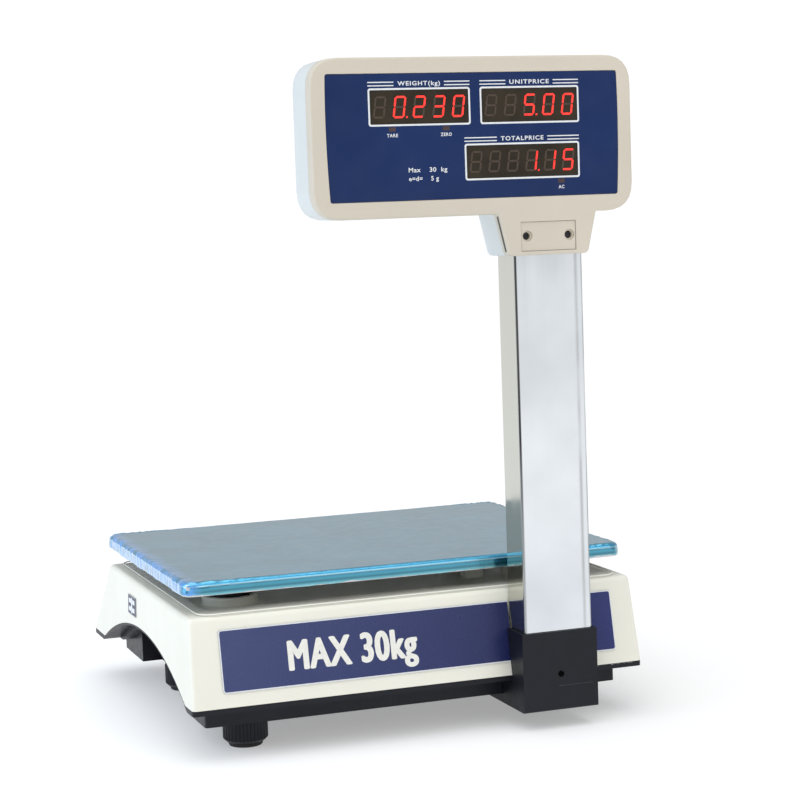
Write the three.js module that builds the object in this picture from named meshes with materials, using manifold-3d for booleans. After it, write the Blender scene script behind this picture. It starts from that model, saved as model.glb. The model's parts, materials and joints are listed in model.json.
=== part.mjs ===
// Retail price scale: a weighing base with a stainless pan, four levelling feet and a pole display.
// Millimetres, +Z up. X runs along the customer's side, the customer stands at -Y and the operator
// at +Y. The origin is on the counter, under the middle of the scale.

import * as THREE from "three";
import { mergeVertices } from "three/addons/utils/BufferGeometryUtils.js";
import Module from "manifold-3d";

const wasm = await Module();
wasm.setup();

// ---------------------------------------------------------------- driving dimensions

const GAP = 0.3; // between pieces that touch
const WALL = 2.5; // moulded casing
const FAR = 200; // past the casing's sides, for cutters
const ABOVE_ARCH = 90; // over the arches' crest, for cutters

const COVER = {
  halfWidth: 173.7,
  sideDraft: 2.2,
  front: -155.3,
  frontDraft: 13.3,
  back: 181.8,
  slopeTop: 119.1,
  bottom: 38.6,
  top: 101.8,
};
const ARCH = { y: 4.1, radius: 330, crest: 30, thinSoffit: 1.6, thickSoffit: 6 };
const RECESS = { halfWidth: 152.7, front: -115, back: 103, radius: 10, depth: 5 };
const TRAY = {
  bottom: 20.8,
  rimBottom: 34.7,
  halfWidth: 160,
  waist: 150,
  front: -135.3,
  back: 172,
  wideEnd: -81, // y where the full width starts to narrow to the waist
};
const GRIP = { inner: 134, front: -24, back: 107 };
const FOOT = {
  radius: 16.5,
  front: -111,
  back: 86,
  xFront: 124.5,
  xBack: 120,
  stud: 4,
  studTop: 40,
  boss: 9,
  bossTop: 34,
  padTop: 2.6,
  chamfer: 3.2,
  flutes: 36,
};
const PAN = { width: 340, depth: 258, y: -2, top: 124.9, skirt: 9.9, sheet: 1.2, radius: 9 };
const POST = { x: 120, front: -66, back: 62 };
const BRACKET = {
  left: 67.8,
  right: 126.9,
  front: -177.8,
  bottom: 14.1,
  top: 72.5,
  tongueEnd: -104,
  screwZ: 41,
};
const POLE = { left: 71, right: 124.4, front: -175.3, back: -143.9, bottom: 17, top: 374, sheet: 1.2 };
const HEAD = { left: -79.4, right: 163.1, bottom: 377, top: 488.4, front: -181.9, back: -141, radius: 21 };
const NECK = { x: 95.8, bottom: 347.1, halfBottom: 31, halfTop: 37.9 };
const NECK_SCREW = { spacing: 32.6, z: 361 };
const NECK_PLATE = { halfWidth: 21.4, bottom: 350, top: 371.2, depth: 0.8 };
const PANEL = { left: -67.8, right: 151.7, bottom: 389.1, top: 477, bow: 1.4, radius: 2 };
const LOAD_CELL = {
  length: 130,
  width: 30,
  height: 22,
  bottom: 38.3,
  spacer: 34,
  eye: 8,
  eyeOffset: 13,
  slot: 3,
};
const SPIDER = {
  bottom: 75,
  thickness: 8,
  hub: 32,
  hubFront: 50,
  hubBack: 66,
  arm: 9,
  boss: 12,
  stem: 8,
  top: 119,
};
const SUPPORT = { radius: 15, topRadius: 14.5, bottom: 100, bore: 8.6, boreTop: 119.4 };
const OVERLAY = { halfWidth: 152, bottom: -38, top: 39, radius: 4, thickness: 0.5 };
const MAIN_BOARD = { halfWidth: 128, bottom: -20, top: 36, level: -14.2 };
const HEAD_BOARD = { left: -60, right: 144, bottom: 394, top: 472, behindFront: 16 };
const BOARD_THICKNESS = 1.6;
const TRANSFORMER = {
  x: 62,
  y: -36,
  halfX: 24,
  halfY: 10,
  height: 40,
  coilX: 15,
  coilY: 18,
  coilFrom: 8,
  ears: 32,
};
const LEVEL = { x: 74, y: -64, half: 7, height: 12, bore: 5.6, vial: 5.3, floor: 2 };

const HEAD_SEAM = HEAD.front + 9.5;
const POLE_X = (POLE.left + POLE.right) / 2;
const ARCH_Z = COVER.bottom + ARCH.crest - ARCH.radius;
const PAN_UNDERSIDE = PAN.top - PAN.sheet;
const RECESS_FLOOR = COVER.top - RECESS.depth;
const TRAY_FLOOR = TRAY.bottom + WALL;
const RIM_TOP = COVER.bottom - GAP;

// ---------------------------------------------------------------- finishes

const finish = (colour, roughness, metalness = 0) =>
  new THREE.MeshStandardMaterial({ color: colour, roughness, metalness });

const IVORY = () => finish(0xf1f0e4, 0.45);
const BEIGE = () => finish(0xd9d2c3, 0.45);
const BLACK = () => finish(0x2b2d35, 0.5);
const NAVY = () => finish(0x27396b, 0.25);
const RUBBER = () => finish(0x17181b, 0.8);
const STEEL = () => finish(0xc9ccd1, 0.25, 1);
const CHROME = () => finish(0xe4e7ec, 0.08, 1);
const ALUMINIUM = () => finish(0xb9bcc0, 0.4, 1);
const BOARD = () => finish(0x1f5a35, 0.5);
const LED = () => finish(0x2a1512, 0.3);

// ---------------------------------------------------------------- shape helpers

// Local x, y, z of an extrusion laid along world Y, Z, X, and along world X, Z, -Y.
const ALONG_X = new THREE.Matrix4().makeBasis(
  new THREE.Vector3(0, 1, 0), new THREE.Vector3(0, 0, 1), new THREE.Vector3(1, 0, 0));
const ALONG_MINUS_Y = new THREE.Matrix4().makeBasis(
  new THREE.Vector3(1, 0, 0), new THREE.Vector3(0, 0, 1), new THREE.Vector3(0, -1, 0));

function solid(geometry) {
  const bare = geometry.clone();
  bare.deleteAttribute("normal");
  bare.deleteAttribute("uv");
  const merged = mergeVertices(bare, 1e-4);
  return new wasm.Manifold(
    new wasm.Mesh({
      numProp: 3,
      vertProperties: new Float32Array(merged.attributes.position.array),
      triVerts: new Uint32Array(merged.index.array),
    }),
  );
}

function geometryOf(made) {
  const mesh = made.getMesh();
  const geometry = new THREE.BufferGeometry();
  geometry.setAttribute("position", new THREE.BufferAttribute(new Float32Array(mesh.vertProperties), 3));
  geometry.setIndex(new THREE.BufferAttribute(new Uint32Array(mesh.triVerts), 1));
  geometry.computeVertexNormals();
  return geometry;
}

const joined = (solids) => solids.reduce((sum, next) => sum.add(next));
const cut = (body, tools) => tools.reduce((rest, tool) => rest.subtract(tool), body);

function box(x0, x1, y0, y1, z0, z1) {
  const geometry = new THREE.BoxGeometry(x1 - x0, y1 - y0, z1 - z0);
  geometry.translate((x0 + x1) / 2, (y0 + y1) / 2, (z0 + z1) / 2);
  return geometry;
}

function cylinderZ(radius, x, y, z0, z1, sides = 24, radiusTop = radius) {
  const geometry = new THREE.CylinderGeometry(radiusTop, radius, z1 - z0, sides);
  geometry.rotateX(Math.PI / 2);
  geometry.translate(x, y, (z0 + z1) / 2);
  return geometry;
}

function cylinderY(radius, x, y0, y1, z, sides = 24) {
  const geometry = new THREE.CylinderGeometry(radius, radius, y1 - y0, sides);
  geometry.translate(x, (y0 + y1) / 2, z);
  return geometry;
}

function cylinderX(radius, x0, x1, y, z, sides = 24) {
  const geometry = new THREE.CylinderGeometry(radius, radius, x1 - x0, sides);
  geometry.rotateZ(Math.PI / 2);
  geometry.translate((x0 + x1) / 2, y, z);
  return geometry;
}

// A polygon whose corners are rounded by their own radius: points are [x, y, radius].
function roundedPolygon(points) {
  const shape = new THREE.Shape();
  points.forEach(([x, y, radius = 0], i) => {
    const corner = new THREE.Vector2(x, y);
    const before = new THREE.Vector2(...points.at(i - 1).slice(0, 2)).sub(corner).normalize();
    const after = new THREE.Vector2(...points[(i + 1) % points.length].slice(0, 2)).sub(corner).normalize();
    const reach = radius / Math.tan(before.angleTo(after) / 2) || 0;
    const start = before.multiplyScalar(reach).add(corner);
    const end = after.multiplyScalar(reach).add(corner);
    if (i === 0) shape.moveTo(start.x, start.y);
    else shape.lineTo(start.x, start.y);
    if (radius > 0) shape.quadraticCurveTo(x, y, end.x, end.y);
  });
  shape.closePath();
  return shape;
}

const rectangle = (x0, x1, y0, y1, radius = 0) =>
  roundedPolygon([[x0, y0, radius], [x1, y0, radius], [x1, y1, radius], [x0, y1, radius]]);

function extrudeZ(shape, z0, z1, curveSegments = 5) {
  const geometry = new THREE.ExtrudeGeometry(shape, { depth: z1 - z0, bevelEnabled: false, curveSegments });
  geometry.translate(0, 0, z0);
  return geometry;
}

function extrudeX(shape, x0, x1, curveSegments = 5) {
  const geometry = new THREE.ExtrudeGeometry(shape, { depth: x1 - x0, bevelEnabled: false, curveSegments });
  geometry.applyMatrix4(ALONG_X);
  geometry.translate(x0, 0, 0);
  return geometry;
}

function extrudeY(shape, y0, y1, curveSegments = 5) {
  const geometry = new THREE.ExtrudeGeometry(shape, { depth: y1 - y0, bevelEnabled: false, curveSegments });
  geometry.applyMatrix4(ALONG_MINUS_Y);
  geometry.translate(0, y1, 0);
  return geometry;
}

// The same extrusion with its edges at y0 and y1 rolled over by a radius, inside the outline.
function softExtrudeY(shape, y0, y1, roll, curveSegments = 5) {
  const geometry = new THREE.ExtrudeGeometry(shape, {
    depth: y1 - y0 - 2 * roll,
    bevelThickness: roll,
    bevelSize: roll,
    bevelOffset: -roll,
    bevelSegments: 3,
    curveSegments,
  });
  geometry.applyMatrix4(ALONG_MINUS_Y);
  geometry.translate(0, y1 - roll, 0);
  return geometry;
}

// The casing's side walls lean inwards with height.
function drafted(geometry) {
  const slopePerMm = COVER.sideDraft / COVER.halfWidth / (COVER.top - COVER.bottom);
  const at = geometry.attributes.position;
  for (let i = 0; i < at.count; i++) {
    at.setX(i, at.getX(i) * (1 - (at.getZ(i) - COVER.bottom) * slopePerMm));
  }
  return geometry;
}

// ---------------------------------------------------------------- assembly

const scale = new THREE.Group();

function add(name, shape, material, parent = scale) {
  const geometry = shape.isBufferGeometry ? shape : geometryOf(shape);
  const mesh = new THREE.Mesh(geometry, material);
  mesh.name = name;
  parent.add(mesh);
  return mesh;
}

// The operator's sloping face: x to the operator's right, y up the slope, z out of it.
const SLOPE_RISE = COVER.top - COVER.bottom;
const SLOPE_RUN = COVER.back - COVER.slopeTop;
const SLOPE_LENGTH = Math.hypot(SLOPE_RISE, SLOPE_RUN);
const slopeFace = new THREE.Group();
slopeFace.quaternion.setFromRotationMatrix(new THREE.Matrix4().makeBasis(
  new THREE.Vector3(-1, 0, 0),
  new THREE.Vector3(0, -SLOPE_RUN / SLOPE_LENGTH, SLOPE_RISE / SLOPE_LENGTH),
  new THREE.Vector3(0, SLOPE_RISE / SLOPE_LENGTH, SLOPE_RUN / SLOPE_LENGTH)));
slopeFace.position.set(0, (COVER.slopeTop + COVER.back) / 2, (COVER.top + COVER.bottom) / 2);
slopeFace.updateMatrixWorld();
scale.add(slopeFace);

// Display windows of the operator's side, on the slope: centre x and half width.
const OPERATOR_WINDOWS = [
  { name: "operator_weight_display", x: -94, half: 38 },
  { name: "operator_unit_price_display", x: -8, half: 38 },
  { name: "operator_total_price_display", x: 84, half: 44 },
];
const OPERATOR_WINDOW = { y: 24, halfHeight: 11 };

// Display windows of the customer's side, on the head: left edge, right edge, bottom, top.
const CUSTOMER_WINDOWS = [
  { name: "weight_display", left: -35.9, right: 37.4, bottom: 442.1, top: 465.8 },
  { name: "unit_price_display", left: 47.3, right: 120.8, bottom: 442.1, top: 465.8 },
  { name: "total_price_display", left: 34.7, right: 120.3, bottom: 403, top: 426.2 },
];

const archCylinder = (radius, x0, x1) => solid(cylinderX(radius, x0, x1, ARCH.y, ARCH_Z, 192));

// The four levelling feet and the four posts, with the words that name them.
const CORNERS = [
  { end: "front", side: "left", x: -1 },
  { end: "front", side: "right", x: 1 },
  { end: "rear", side: "left", x: -1 },
  { end: "rear", side: "right", x: 1 },
].map((c) => ({
  name: `${c.end}_${c.side}`,
  foot: c.end === "front" ? [c.x * FOOT.xFront, FOOT.front] : [c.x * FOOT.xBack, FOOT.back],
  post: [c.x * POST.x, c.end === "front" ? POST.front : POST.back],
}));

const CASE_SCREWS = [[-60, -124], [60, -124], [-138, 142], [138, 142]];
const CASE_SCREW = { shaft: 1.5, head: 3.2, boss: 4.5, sunk: 4.4 };
const BATTERY = { left: -98, right: -28, front: -60, back: 40, height: 47 };
const DOOR = { left: -102, right: -24, front: -64, back: 44, thickness: 2, ledge: 4 };

// ---------------------------------------------------------------- casing

// Side outline of the cover, moved inwards by an inset; it runs on below the casing's edge.
function coverOutline(inset) {
  const below = 12;
  const lean = COVER.frontDraft / (COVER.top - COVER.bottom);
  const run = SLOPE_RUN / SLOPE_RISE;
  const slant = inset * SLOPE_LENGTH / SLOPE_RISE;
  const topZ = COVER.top - inset;
  const frontAt = (z) => COVER.front + inset + (z - COVER.bottom) * lean;
  const backAt = (z) => COVER.back - slant - (z - COVER.bottom) * run;
  return roundedPolygon([
    [frontAt(COVER.bottom - below), COVER.bottom - below],
    [backAt(COVER.bottom - below), COVER.bottom - below],
    [backAt(topZ), topZ, 7],
    [frontAt(topZ), topZ, 5],
  ]);
}

function coverOuter() {
  const roll = 3.5;
  const width = 2 * COVER.halfWidth;
  const geometry = new THREE.ExtrudeGeometry(coverOutline(0), {
    depth: width - 2 * roll,
    bevelThickness: roll,
    bevelSize: roll,
    bevelOffset: -roll,
    bevelSegments: 3,
    curveSegments: 4,
  });
  geometry.applyMatrix4(ALONG_X);
  geometry.translate(-width / 2 + roll, 0, 0);
  const below = box(-FAR, FAR, -FAR, FAR, 0, COVER.bottom);
  return solid(drafted(geometry)).subtract(solid(below));
}

function coverInner() {
  const half = COVER.halfWidth - WALL;
  return solid(drafted(extrudeX(coverOutline(WALL), -half, half, 4)));
}

const recessOutline = (grow) =>
  rectangle(
    -RECESS.halfWidth - grow, RECESS.halfWidth + grow,
    RECESS.front - grow, RECESS.back + grow, RECESS.radius + grow,
  );

function operatorWindowCutter(window) {
  const cutter = box(
    window.x - window.half, window.x + window.half,
    OPERATOR_WINDOW.y - OPERATOR_WINDOW.halfHeight, OPERATOR_WINDOW.y + OPERATOR_WINDOW.halfHeight, -8, 8,
  );
  cutter.applyMatrix4(slopeFace.matrixWorld);
  return solid(cutter);
}

// The slot in the casing's front that the pole stands in; the display cable enters through it.
const poleSlot = () => {
  const clear = 0.5;
  const [bottom, top] = [TRAY.rimBottom - 5, 95];
  return solid(box(POLE.left - clear, POLE.right + clear, -FAR, POLE.back + clear, bottom, top));
};

const COLLAR = { radius: 21, hole: 17, height: 6.2 };

function collar([x, y]) {
  return solid(cylinderZ(COLLAR.radius, x, y, RECESS_FLOOR - WALL, RECESS_FLOOR + COLLAR.height, 40));
}

function makeCover() {
  const pocket = solid(extrudeZ(recessOutline(0), RECESS_FLOOR, COVER.top + 20));
  const pocketFloor = solid(extrudeZ(recessOutline(WALL), RECESS_FLOOR - WALL, COVER.top + 20));
  const bosses = joined(CASE_SCREWS.map(([x, y]) =>
    solid(cylinderZ(CASE_SCREW.boss, x, y, COVER.bottom + 0.4, COVER.top - 1, 12))));
  const pilotHoles = CASE_SCREWS.map(([x, y]) =>
    solid(cylinderZ(CASE_SCREW.shaft + 0.2, x, y, COVER.bottom - 5, COVER.bottom + 16, 12)));
  const shell = coverOuter().subtract(coverInner().subtract(pocketFloor)).subtract(pocket);
  const withBosses = shell.add(bosses.intersect(coverOuter()).subtract(pocket));
  const raised = withBosses.add(joined(CORNERS.map((c) => collar(c.post))));
  const collarHoles = CORNERS.map((c) =>
    solid(cylinderZ(COLLAR.hole, ...c.post, RECESS_FLOOR - 10, COVER.top + 10, 36)));
  return cut(raised, [
    ...collarHoles,
    ...pilotHoles,
    ...OPERATOR_WINDOWS.map(operatorWindowCutter),
    archCylinder(ARCH.radius, -FAR, FAR),
    poleSlot(),
  ]);
}

// Outline of the tray's lower step on one side, x outwards: full width in front, then a waist.
function lowerOutline(inset) {
  const half = TRAY.halfWidth - inset;
  const waist = TRAY.waist - inset;
  const [front, back] = [TRAY.front + inset, TRAY.back - inset];
  return roundedPolygon([
    [-half, front, 3], [half, front, 3], [half, TRAY.wideEnd], [waist, GRIP.front],
    [waist, back, 3], [-waist, back, 3], [-waist, GRIP.front], [-half, TRAY.wideEnd],
  ]);
}

// A box between two distances from the middle, on one side.
function sideBox(side, near, far, y0, y1, z0, z1) {
  return box(Math.min(side * near, side * far), Math.max(side * near, side * far), y0, y1, z0, z1);
}

// One side's arch: a soffit band and an inner wall between the tray's rim and the cover's arch.
function archBand(side) {
  const footing = Math.sqrt(ARCH.radius ** 2 - (TRAY.rimBottom - ARCH_Z) ** 2);
  const band = drafted(sideBox(side, TRAY.waist - WALL, COVER.halfWidth - GAP,
    ARCH.y - footing, ARCH.y + footing, TRAY.rimBottom, ABOVE_ARCH));
  const grip = sideBox(side, GRIP.inner - WALL, TRAY.waist + 1,
    GRIP.front - WALL, GRIP.back + WALL, TRAY.bottom, ABOVE_ARCH);
  return solid(band).add(solid(grip)).intersect(archCylinder(ARCH.radius - GAP, -FAR, FAR));
}

// What is cut away under one side's arch: the outer band, the deeper band and the hand grip.
function archCuts(side) {
  const [near, far] = side < 0 ? [-FAR, -TRAY.halfWidth] : [TRAY.halfWidth, FAR];
  const outerBand = archCylinder(ARCH.radius - ARCH.thinSoffit, near, far);
  const deeper = archCylinder(ARCH.radius - ARCH.thickSoffit, -FAR, FAR);
  const [edge, behind] = [side * (TRAY.halfWidth + 0.5), TRAY.back - 12];
  const outline = roundedPolygon([
    [side * TRAY.waist, GRIP.front], [side * TRAY.waist, behind], [edge, behind],
    [edge, TRAY.wideEnd], [side * TRAY.halfWidth, TRAY.wideEnd],
  ]);
  const deeperBand = solid(extrudeZ(outline, 0, ABOVE_ARCH)).intersect(deeper);
  const grip = solid(sideBox(side, GRIP.inner, TRAY.waist + 2, GRIP.front, GRIP.back, 0, ABOVE_ARCH))
    .intersect(deeper);
  return [outerBand, deeperBand, grip];
}

function makeTray() {
  const rim = solid(extrudeZ(
    rectangle(-COVER.halfWidth, COVER.halfWidth, COVER.front, COVER.back, 4), TRAY.rimBottom, RIM_TOP));
  const lower = solid(extrudeZ(lowerOutline(0), TRAY.bottom, RIM_TOP));
  const cavity = solid(extrudeZ(lowerOutline(WALL), TRAY_FLOOR, ABOVE_ARCH));
  const footBosses = CORNERS.map((c) =>
    solid(cylinderZ(FOOT.boss, ...c.foot, TRAY.bottom, FOOT.bossTop, 20)));
  const screwBosses = CASE_SCREWS.map(([x, y]) =>
    solid(cylinderZ(CASE_SCREW.boss + 1, x, y, TRAY.bottom, RIM_TOP, 12)));
  const loose = 0.4;
  const studHoles = CORNERS.map((c) => solid(cylinderZ(FOOT.stud + loose, ...c.foot, 0, 50, 20)));
  const screwHoles = CASE_SCREWS.map(([x, y]) =>
    solid(cylinderZ(CASE_SCREW.shaft + loose, x, y, 0, 50, 12)));
  const screwHeadHoles = CASE_SCREWS.map(([x, y]) =>
    solid(cylinderZ(CASE_SCREW.head + loose, x, y, 0, TRAY.bottom + CASE_SCREW.sunk, 12)));
  const doorSeat = solid(box(DOOR.left - loose, DOOR.right + loose, DOOR.front - loose,
    DOOR.back + loose, 0, TRAY.bottom + DOOR.thickness));
  const doorHole = solid(box(DOOR.left + DOOR.ledge, DOOR.right - DOOR.ledge,
    DOOR.front + DOOR.ledge, DOOR.back - DOOR.ledge, 0, 40));
  const hollow = rim.add(lower).subtract(cavity);
  const whole = joined([hollow, archBand(-1), archBand(1), ...footBosses, ...screwBosses]);
  return cut(whole, [
    ...archCuts(-1), ...archCuts(1), ...studHoles, ...screwHoles, ...screwHeadHoles,
    doorSeat, doorHole, portHole(INLET), portHole(SWITCH), poleSlot(),
  ]);
}

function addCasing() {
  add("base_tray", makeTray(), BLACK());
  add("housing_cover", makeCover(), IVORY());
  CASE_SCREWS.forEach(([x, y], i) => {
    const shaft = cylinderZ(CASE_SCREW.shaft, x, y, TRAY.bottom + 4, COVER.bottom + 12, 12);
    const head = cylinderZ(CASE_SCREW.head, x, y, TRAY.bottom + 1.6, TRAY.bottom + 4.1, 12);
    add(`case_screw_${i + 1}`, solid(shaft).add(solid(head)), STEEL());
  });
}

// ---------------------------------------------------------------- labels on the casing

const FRONT_LABEL = { left: -150.6, right: 153.6, bottom: 48.6, top: 92.4, radius: 2.5, outside: 0.7 };
const SIDE_LABEL = { front: 21, back: 47, bottom: 74.5, top: 89.5 };

// A thin plate on the leaning front wall, from its left to its right edge.
function frontPlate(x0, x1, leftRadius, rightRadius) {
  const lean = COVER.frontDraft / (COVER.top - COVER.bottom);
  const [z0, z1] = [FRONT_LABEL.bottom, FRONT_LABEL.top];
  const outline = roundedPolygon([[x0, z0, leftRadius], [x1, z0, rightRadius],
    [x1, z1, rightRadius], [x0, z1, leftRadius]]);
  const plate = extrudeY(outline, -FRONT_LABEL.outside, -GAP);
  const at = plate.attributes.position;
  for (let i = 0; i < at.count; i++) {
    at.setY(i, at.getY(i) + COVER.front + (at.getZ(i) - COVER.bottom) * lean);
  }
  return plate;
}

function addLabels() {
  const clear = 0.8;
  const { left, right, radius, outside } = FRONT_LABEL;
  add("front_label", frontPlate(left, POLE.left - clear, radius, 0), NAVY());
  add("front_label_end", frontPlate(POLE.right + clear, right, 0, radius), NAVY());
  const side = box(-COVER.halfWidth - outside, -COVER.halfWidth - GAP,
    SIDE_LABEL.front, SIDE_LABEL.back, SIDE_LABEL.bottom, SIDE_LABEL.top);
  add("side_label", drafted(side), finish(0x9a9c9f, 0.4));
}

// ---------------------------------------------------------------- operator's side

function addOperatorPanel() {
  const sheet = rectangle(-OVERLAY.halfWidth, OVERLAY.halfWidth, OVERLAY.bottom, OVERLAY.top, OVERLAY.radius);
  add("keypad_overlay", extrudeZ(sheet, GAP, GAP + OVERLAY.thickness), NAVY(), slopeFace);
  add("main_board", box(-MAIN_BOARD.halfWidth, MAIN_BOARD.halfWidth, MAIN_BOARD.bottom, MAIN_BOARD.top,
    MAIN_BOARD.level - BOARD_THICKNESS, MAIN_BOARD.level), BOARD(), slopeFace);
  for (const window of OPERATOR_WINDOWS) {
    const half = window.half - 1;
    const tall = OPERATOR_WINDOW.halfHeight - 1;
    const module = box(window.x - half, window.x + half,
      OPERATOR_WINDOW.y - tall, OPERATOR_WINDOW.y + tall, MAIN_BOARD.level + GAP, -1);
    add(window.name, module, LED(), slopeFace);
  }
}

// ---------------------------------------------------------------- load path and pan

function addLoadPath() {
  const y = PAN.y;
  const [front, back] = [y - LOAD_CELL.length / 2, y + LOAD_CELL.length / 2];
  const top = LOAD_CELL.bottom + LOAD_CELL.height;
  const middle = LOAD_CELL.bottom + LOAD_CELL.height / 2;
  const half = LOAD_CELL.width / 2;
  const bar = solid(box(-half, half, front, back, LOAD_CELL.bottom, top));
  const { eye, eyeOffset, slot, spacer } = LOAD_CELL;
  const eyes = [-eyeOffset, eyeOffset].map((dy) =>
    solid(cylinderX(eye, -2 * half, 2 * half, y + dy, middle, 24)));
  const between = solid(box(-2 * half, 2 * half, y - eyeOffset, y + eyeOffset, middle - slot, middle + slot));
  add("load_cell", cut(bar, [...eyes, between]), ALUMINIUM());
  add("load_cell_base_spacer",
    box(-half, half, front, front + spacer, TRAY_FLOOR + GAP, LOAD_CELL.bottom - GAP), ALUMINIUM());
  add("load_cell_top_spacer",
    box(-half, half, back - spacer, back, top + GAP, SPIDER.bottom - GAP), ALUMINIUM());
  add("platform_spider", makeSpider(), ALUMINIUM());
  for (const corner of CORNERS) add(`pan_support_${corner.name}`, makeSupport(corner.post), RUBBER());
}

// A rubber cup, open below, that sits on the end of one of the spider's posts.
function makeSupport(post) {
  const top = PAN_UNDERSIDE - GAP;
  const profile = [[0, SUPPORT.boreTop], [SUPPORT.bore, SUPPORT.boreTop], [SUPPORT.bore, SUPPORT.bottom],
    [SUPPORT.radius, SUPPORT.bottom], [SUPPORT.topRadius, top], [0, top]];
  const cup = new THREE.LatheGeometry(profile.map(([r, z]) => new THREE.Vector2(r, z)), 28);
  cup.rotateX(Math.PI / 2);
  cup.translate(...post, 0);
  return cup;
}

// The cast cross that carries the pan: a hub over the load cell, four arms and four posts.
function makeSpider() {
  const { bottom, hub, arm } = SPIDER;
  const top = bottom + SPIDER.thickness;
  const plate = solid(extrudeZ(
    rectangle(-hub, hub, PAN.y - SPIDER.hubFront, PAN.y + SPIDER.hubBack, 6), bottom, top));
  const arms = CORNERS.map((corner) => {
    const [x, y] = corner.post;
    const [dx, dy] = [x, y - PAN.y];
    const bar = box(0, Math.hypot(dx, dy), -arm, arm, bottom, top);
    bar.rotateZ(Math.atan2(dy, dx));
    bar.translate(0, PAN.y, 0);
    return solid(bar);
  });
  const bosses = CORNERS.map((c) =>
    solid(cylinderZ(SPIDER.boss, ...c.post, bottom, top + 6, 20, SPIDER.stem)));
  const stems = CORNERS.map((c) => solid(cylinderZ(SPIDER.stem, ...c.post, bottom, SPIDER.top, 20)));
  return joined([plate, ...arms, ...bosses, ...stems]);
}

// The pressed pan: a flat sheet with rounded corners, a rolled edge and a skirt.
function panBlock(inset, z0, z1, roll) {
  const [halfX, halfY] = [PAN.width / 2 - inset, PAN.depth / 2 - inset];
  const shape = rectangle(-halfX, halfX, PAN.y - halfY, PAN.y + halfY, PAN.radius - inset);
  const geometry = new THREE.ExtrudeGeometry(shape, {
    depth: z1 - z0 - 2 * roll,
    bevelThickness: roll,
    bevelSize: roll,
    bevelOffset: -roll,
    bevelSegments: 3,
    curveSegments: 6,
  });
  geometry.translate(0, 0, z0 + roll);
  return solid(geometry);
}

function addPan() {
  const bottom = PAN.top - PAN.skirt;
  const outer = panBlock(0, bottom - 10, PAN.top, 3);
  const inner = panBlock(PAN.sheet, bottom - 20, PAN_UNDERSIDE, 2);
  const below = solid(box(-FAR, FAR, -FAR, FAR, bottom - 40, bottom));
  add("pan", outer.subtract(inner).subtract(below), STEEL());
}

// ---------------------------------------------------------------- levelling feet

function knobOutline(radius) {
  const shape = new THREE.Shape();
  const steps = FOOT.flutes * 3;
  const groove = 0.8;
  for (let i = 0; i < steps; i++) {
    const angle = (2 * Math.PI * i) / steps;
    const reach = radius - (i % 3 === 0 ? groove : 0);
    const [x, y] = [reach * Math.cos(angle), reach * Math.sin(angle)];
    if (i === 0) shape.moveTo(x, y);
    else shape.lineTo(x, y);
  }
  shape.closePath();
  return shape;
}

function addFeet() {
  const knobBottom = FOOT.padTop + GAP;
  const knobTop = TRAY.bottom - GAP;
  const around = FOOT.radius + 0.6;
  for (const { name, foot } of CORNERS) {
    add(`foot_pad_${name}`, cylinderZ(12, ...foot, 0, FOOT.padTop, 32, 13), RUBBER());
    const grip = extrudeZ(knobOutline(FOOT.radius), knobBottom, knobTop);
    const chamfer = cylinderZ(around - 3.5, 0, 0, knobBottom, knobBottom + FOOT.chamfer, 48, around);
    const upper = cylinderZ(around, 0, 0, knobBottom + FOOT.chamfer, knobTop, 48);
    const envelope = solid(chamfer).add(solid(upper));
    const stud = solid(cylinderZ(FOOT.stud, 0, 0, knobTop - 2, FOOT.studTop, 20));
    const knob = geometryOf(solid(grip).intersect(envelope).add(stud));
    add(`foot_knob_${name}`, knob, BLACK()).position.set(...foot, 0);
  }
}

// ---------------------------------------------------------------- power

const INLET = { y: 22, z: 36, halfWidth: 13, halfHeight: 7.5, bodyDepth: 14 };
const SWITCH = { y: 58, z: 36, halfWidth: 10.5, halfHeight: 7.5, bodyDepth: 12 };
const FLANGE = { thickness: 2.2, margin: 1.5 };
const SOCKET = { halfWidth: 8.4, halfHeight: 4.1, depth: 12 };
const PIN = { radius: 1.2, spacing: 8.6, length: 17.7, sunk: 2.5 };
const WELL = { depth: 8.2, halfWidth: 7.2, halfHeight: 4.8 };
const ROCKER = { axisBehindFace: 1.6, halfHeight: 4.4 };

// A port's hole in the grip's wall, and its body, which is smaller by the clearance.
const HOLE_INSET = 0.8;
const BODY_INSET = 1.2;

const portHole = (port) => solid(box(
  GRIP.inner - WALL - 3, GRIP.inner + 3,
  port.y - port.halfWidth + HOLE_INSET, port.y + port.halfWidth - HOLE_INSET,
  port.z - port.halfHeight + HOLE_INSET, port.z + port.halfHeight - HOLE_INSET));

// A port's flange sits outside the grip's wall and its body goes through the hole.
function portBody(port) {
  const part = (x0, x1, grow) => solid(box(x0, x1,
    port.y - port.halfWidth - grow, port.y + port.halfWidth + grow,
    port.z - port.halfHeight - grow, port.z + port.halfHeight + grow));
  const flange = part(GRIP.inner + GAP, GRIP.inner + FLANGE.thickness, FLANGE.margin);
  const body = part(GRIP.inner - port.bodyDepth, GRIP.inner + 1, -BODY_INSET);
  return flange.add(body);
}

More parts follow.
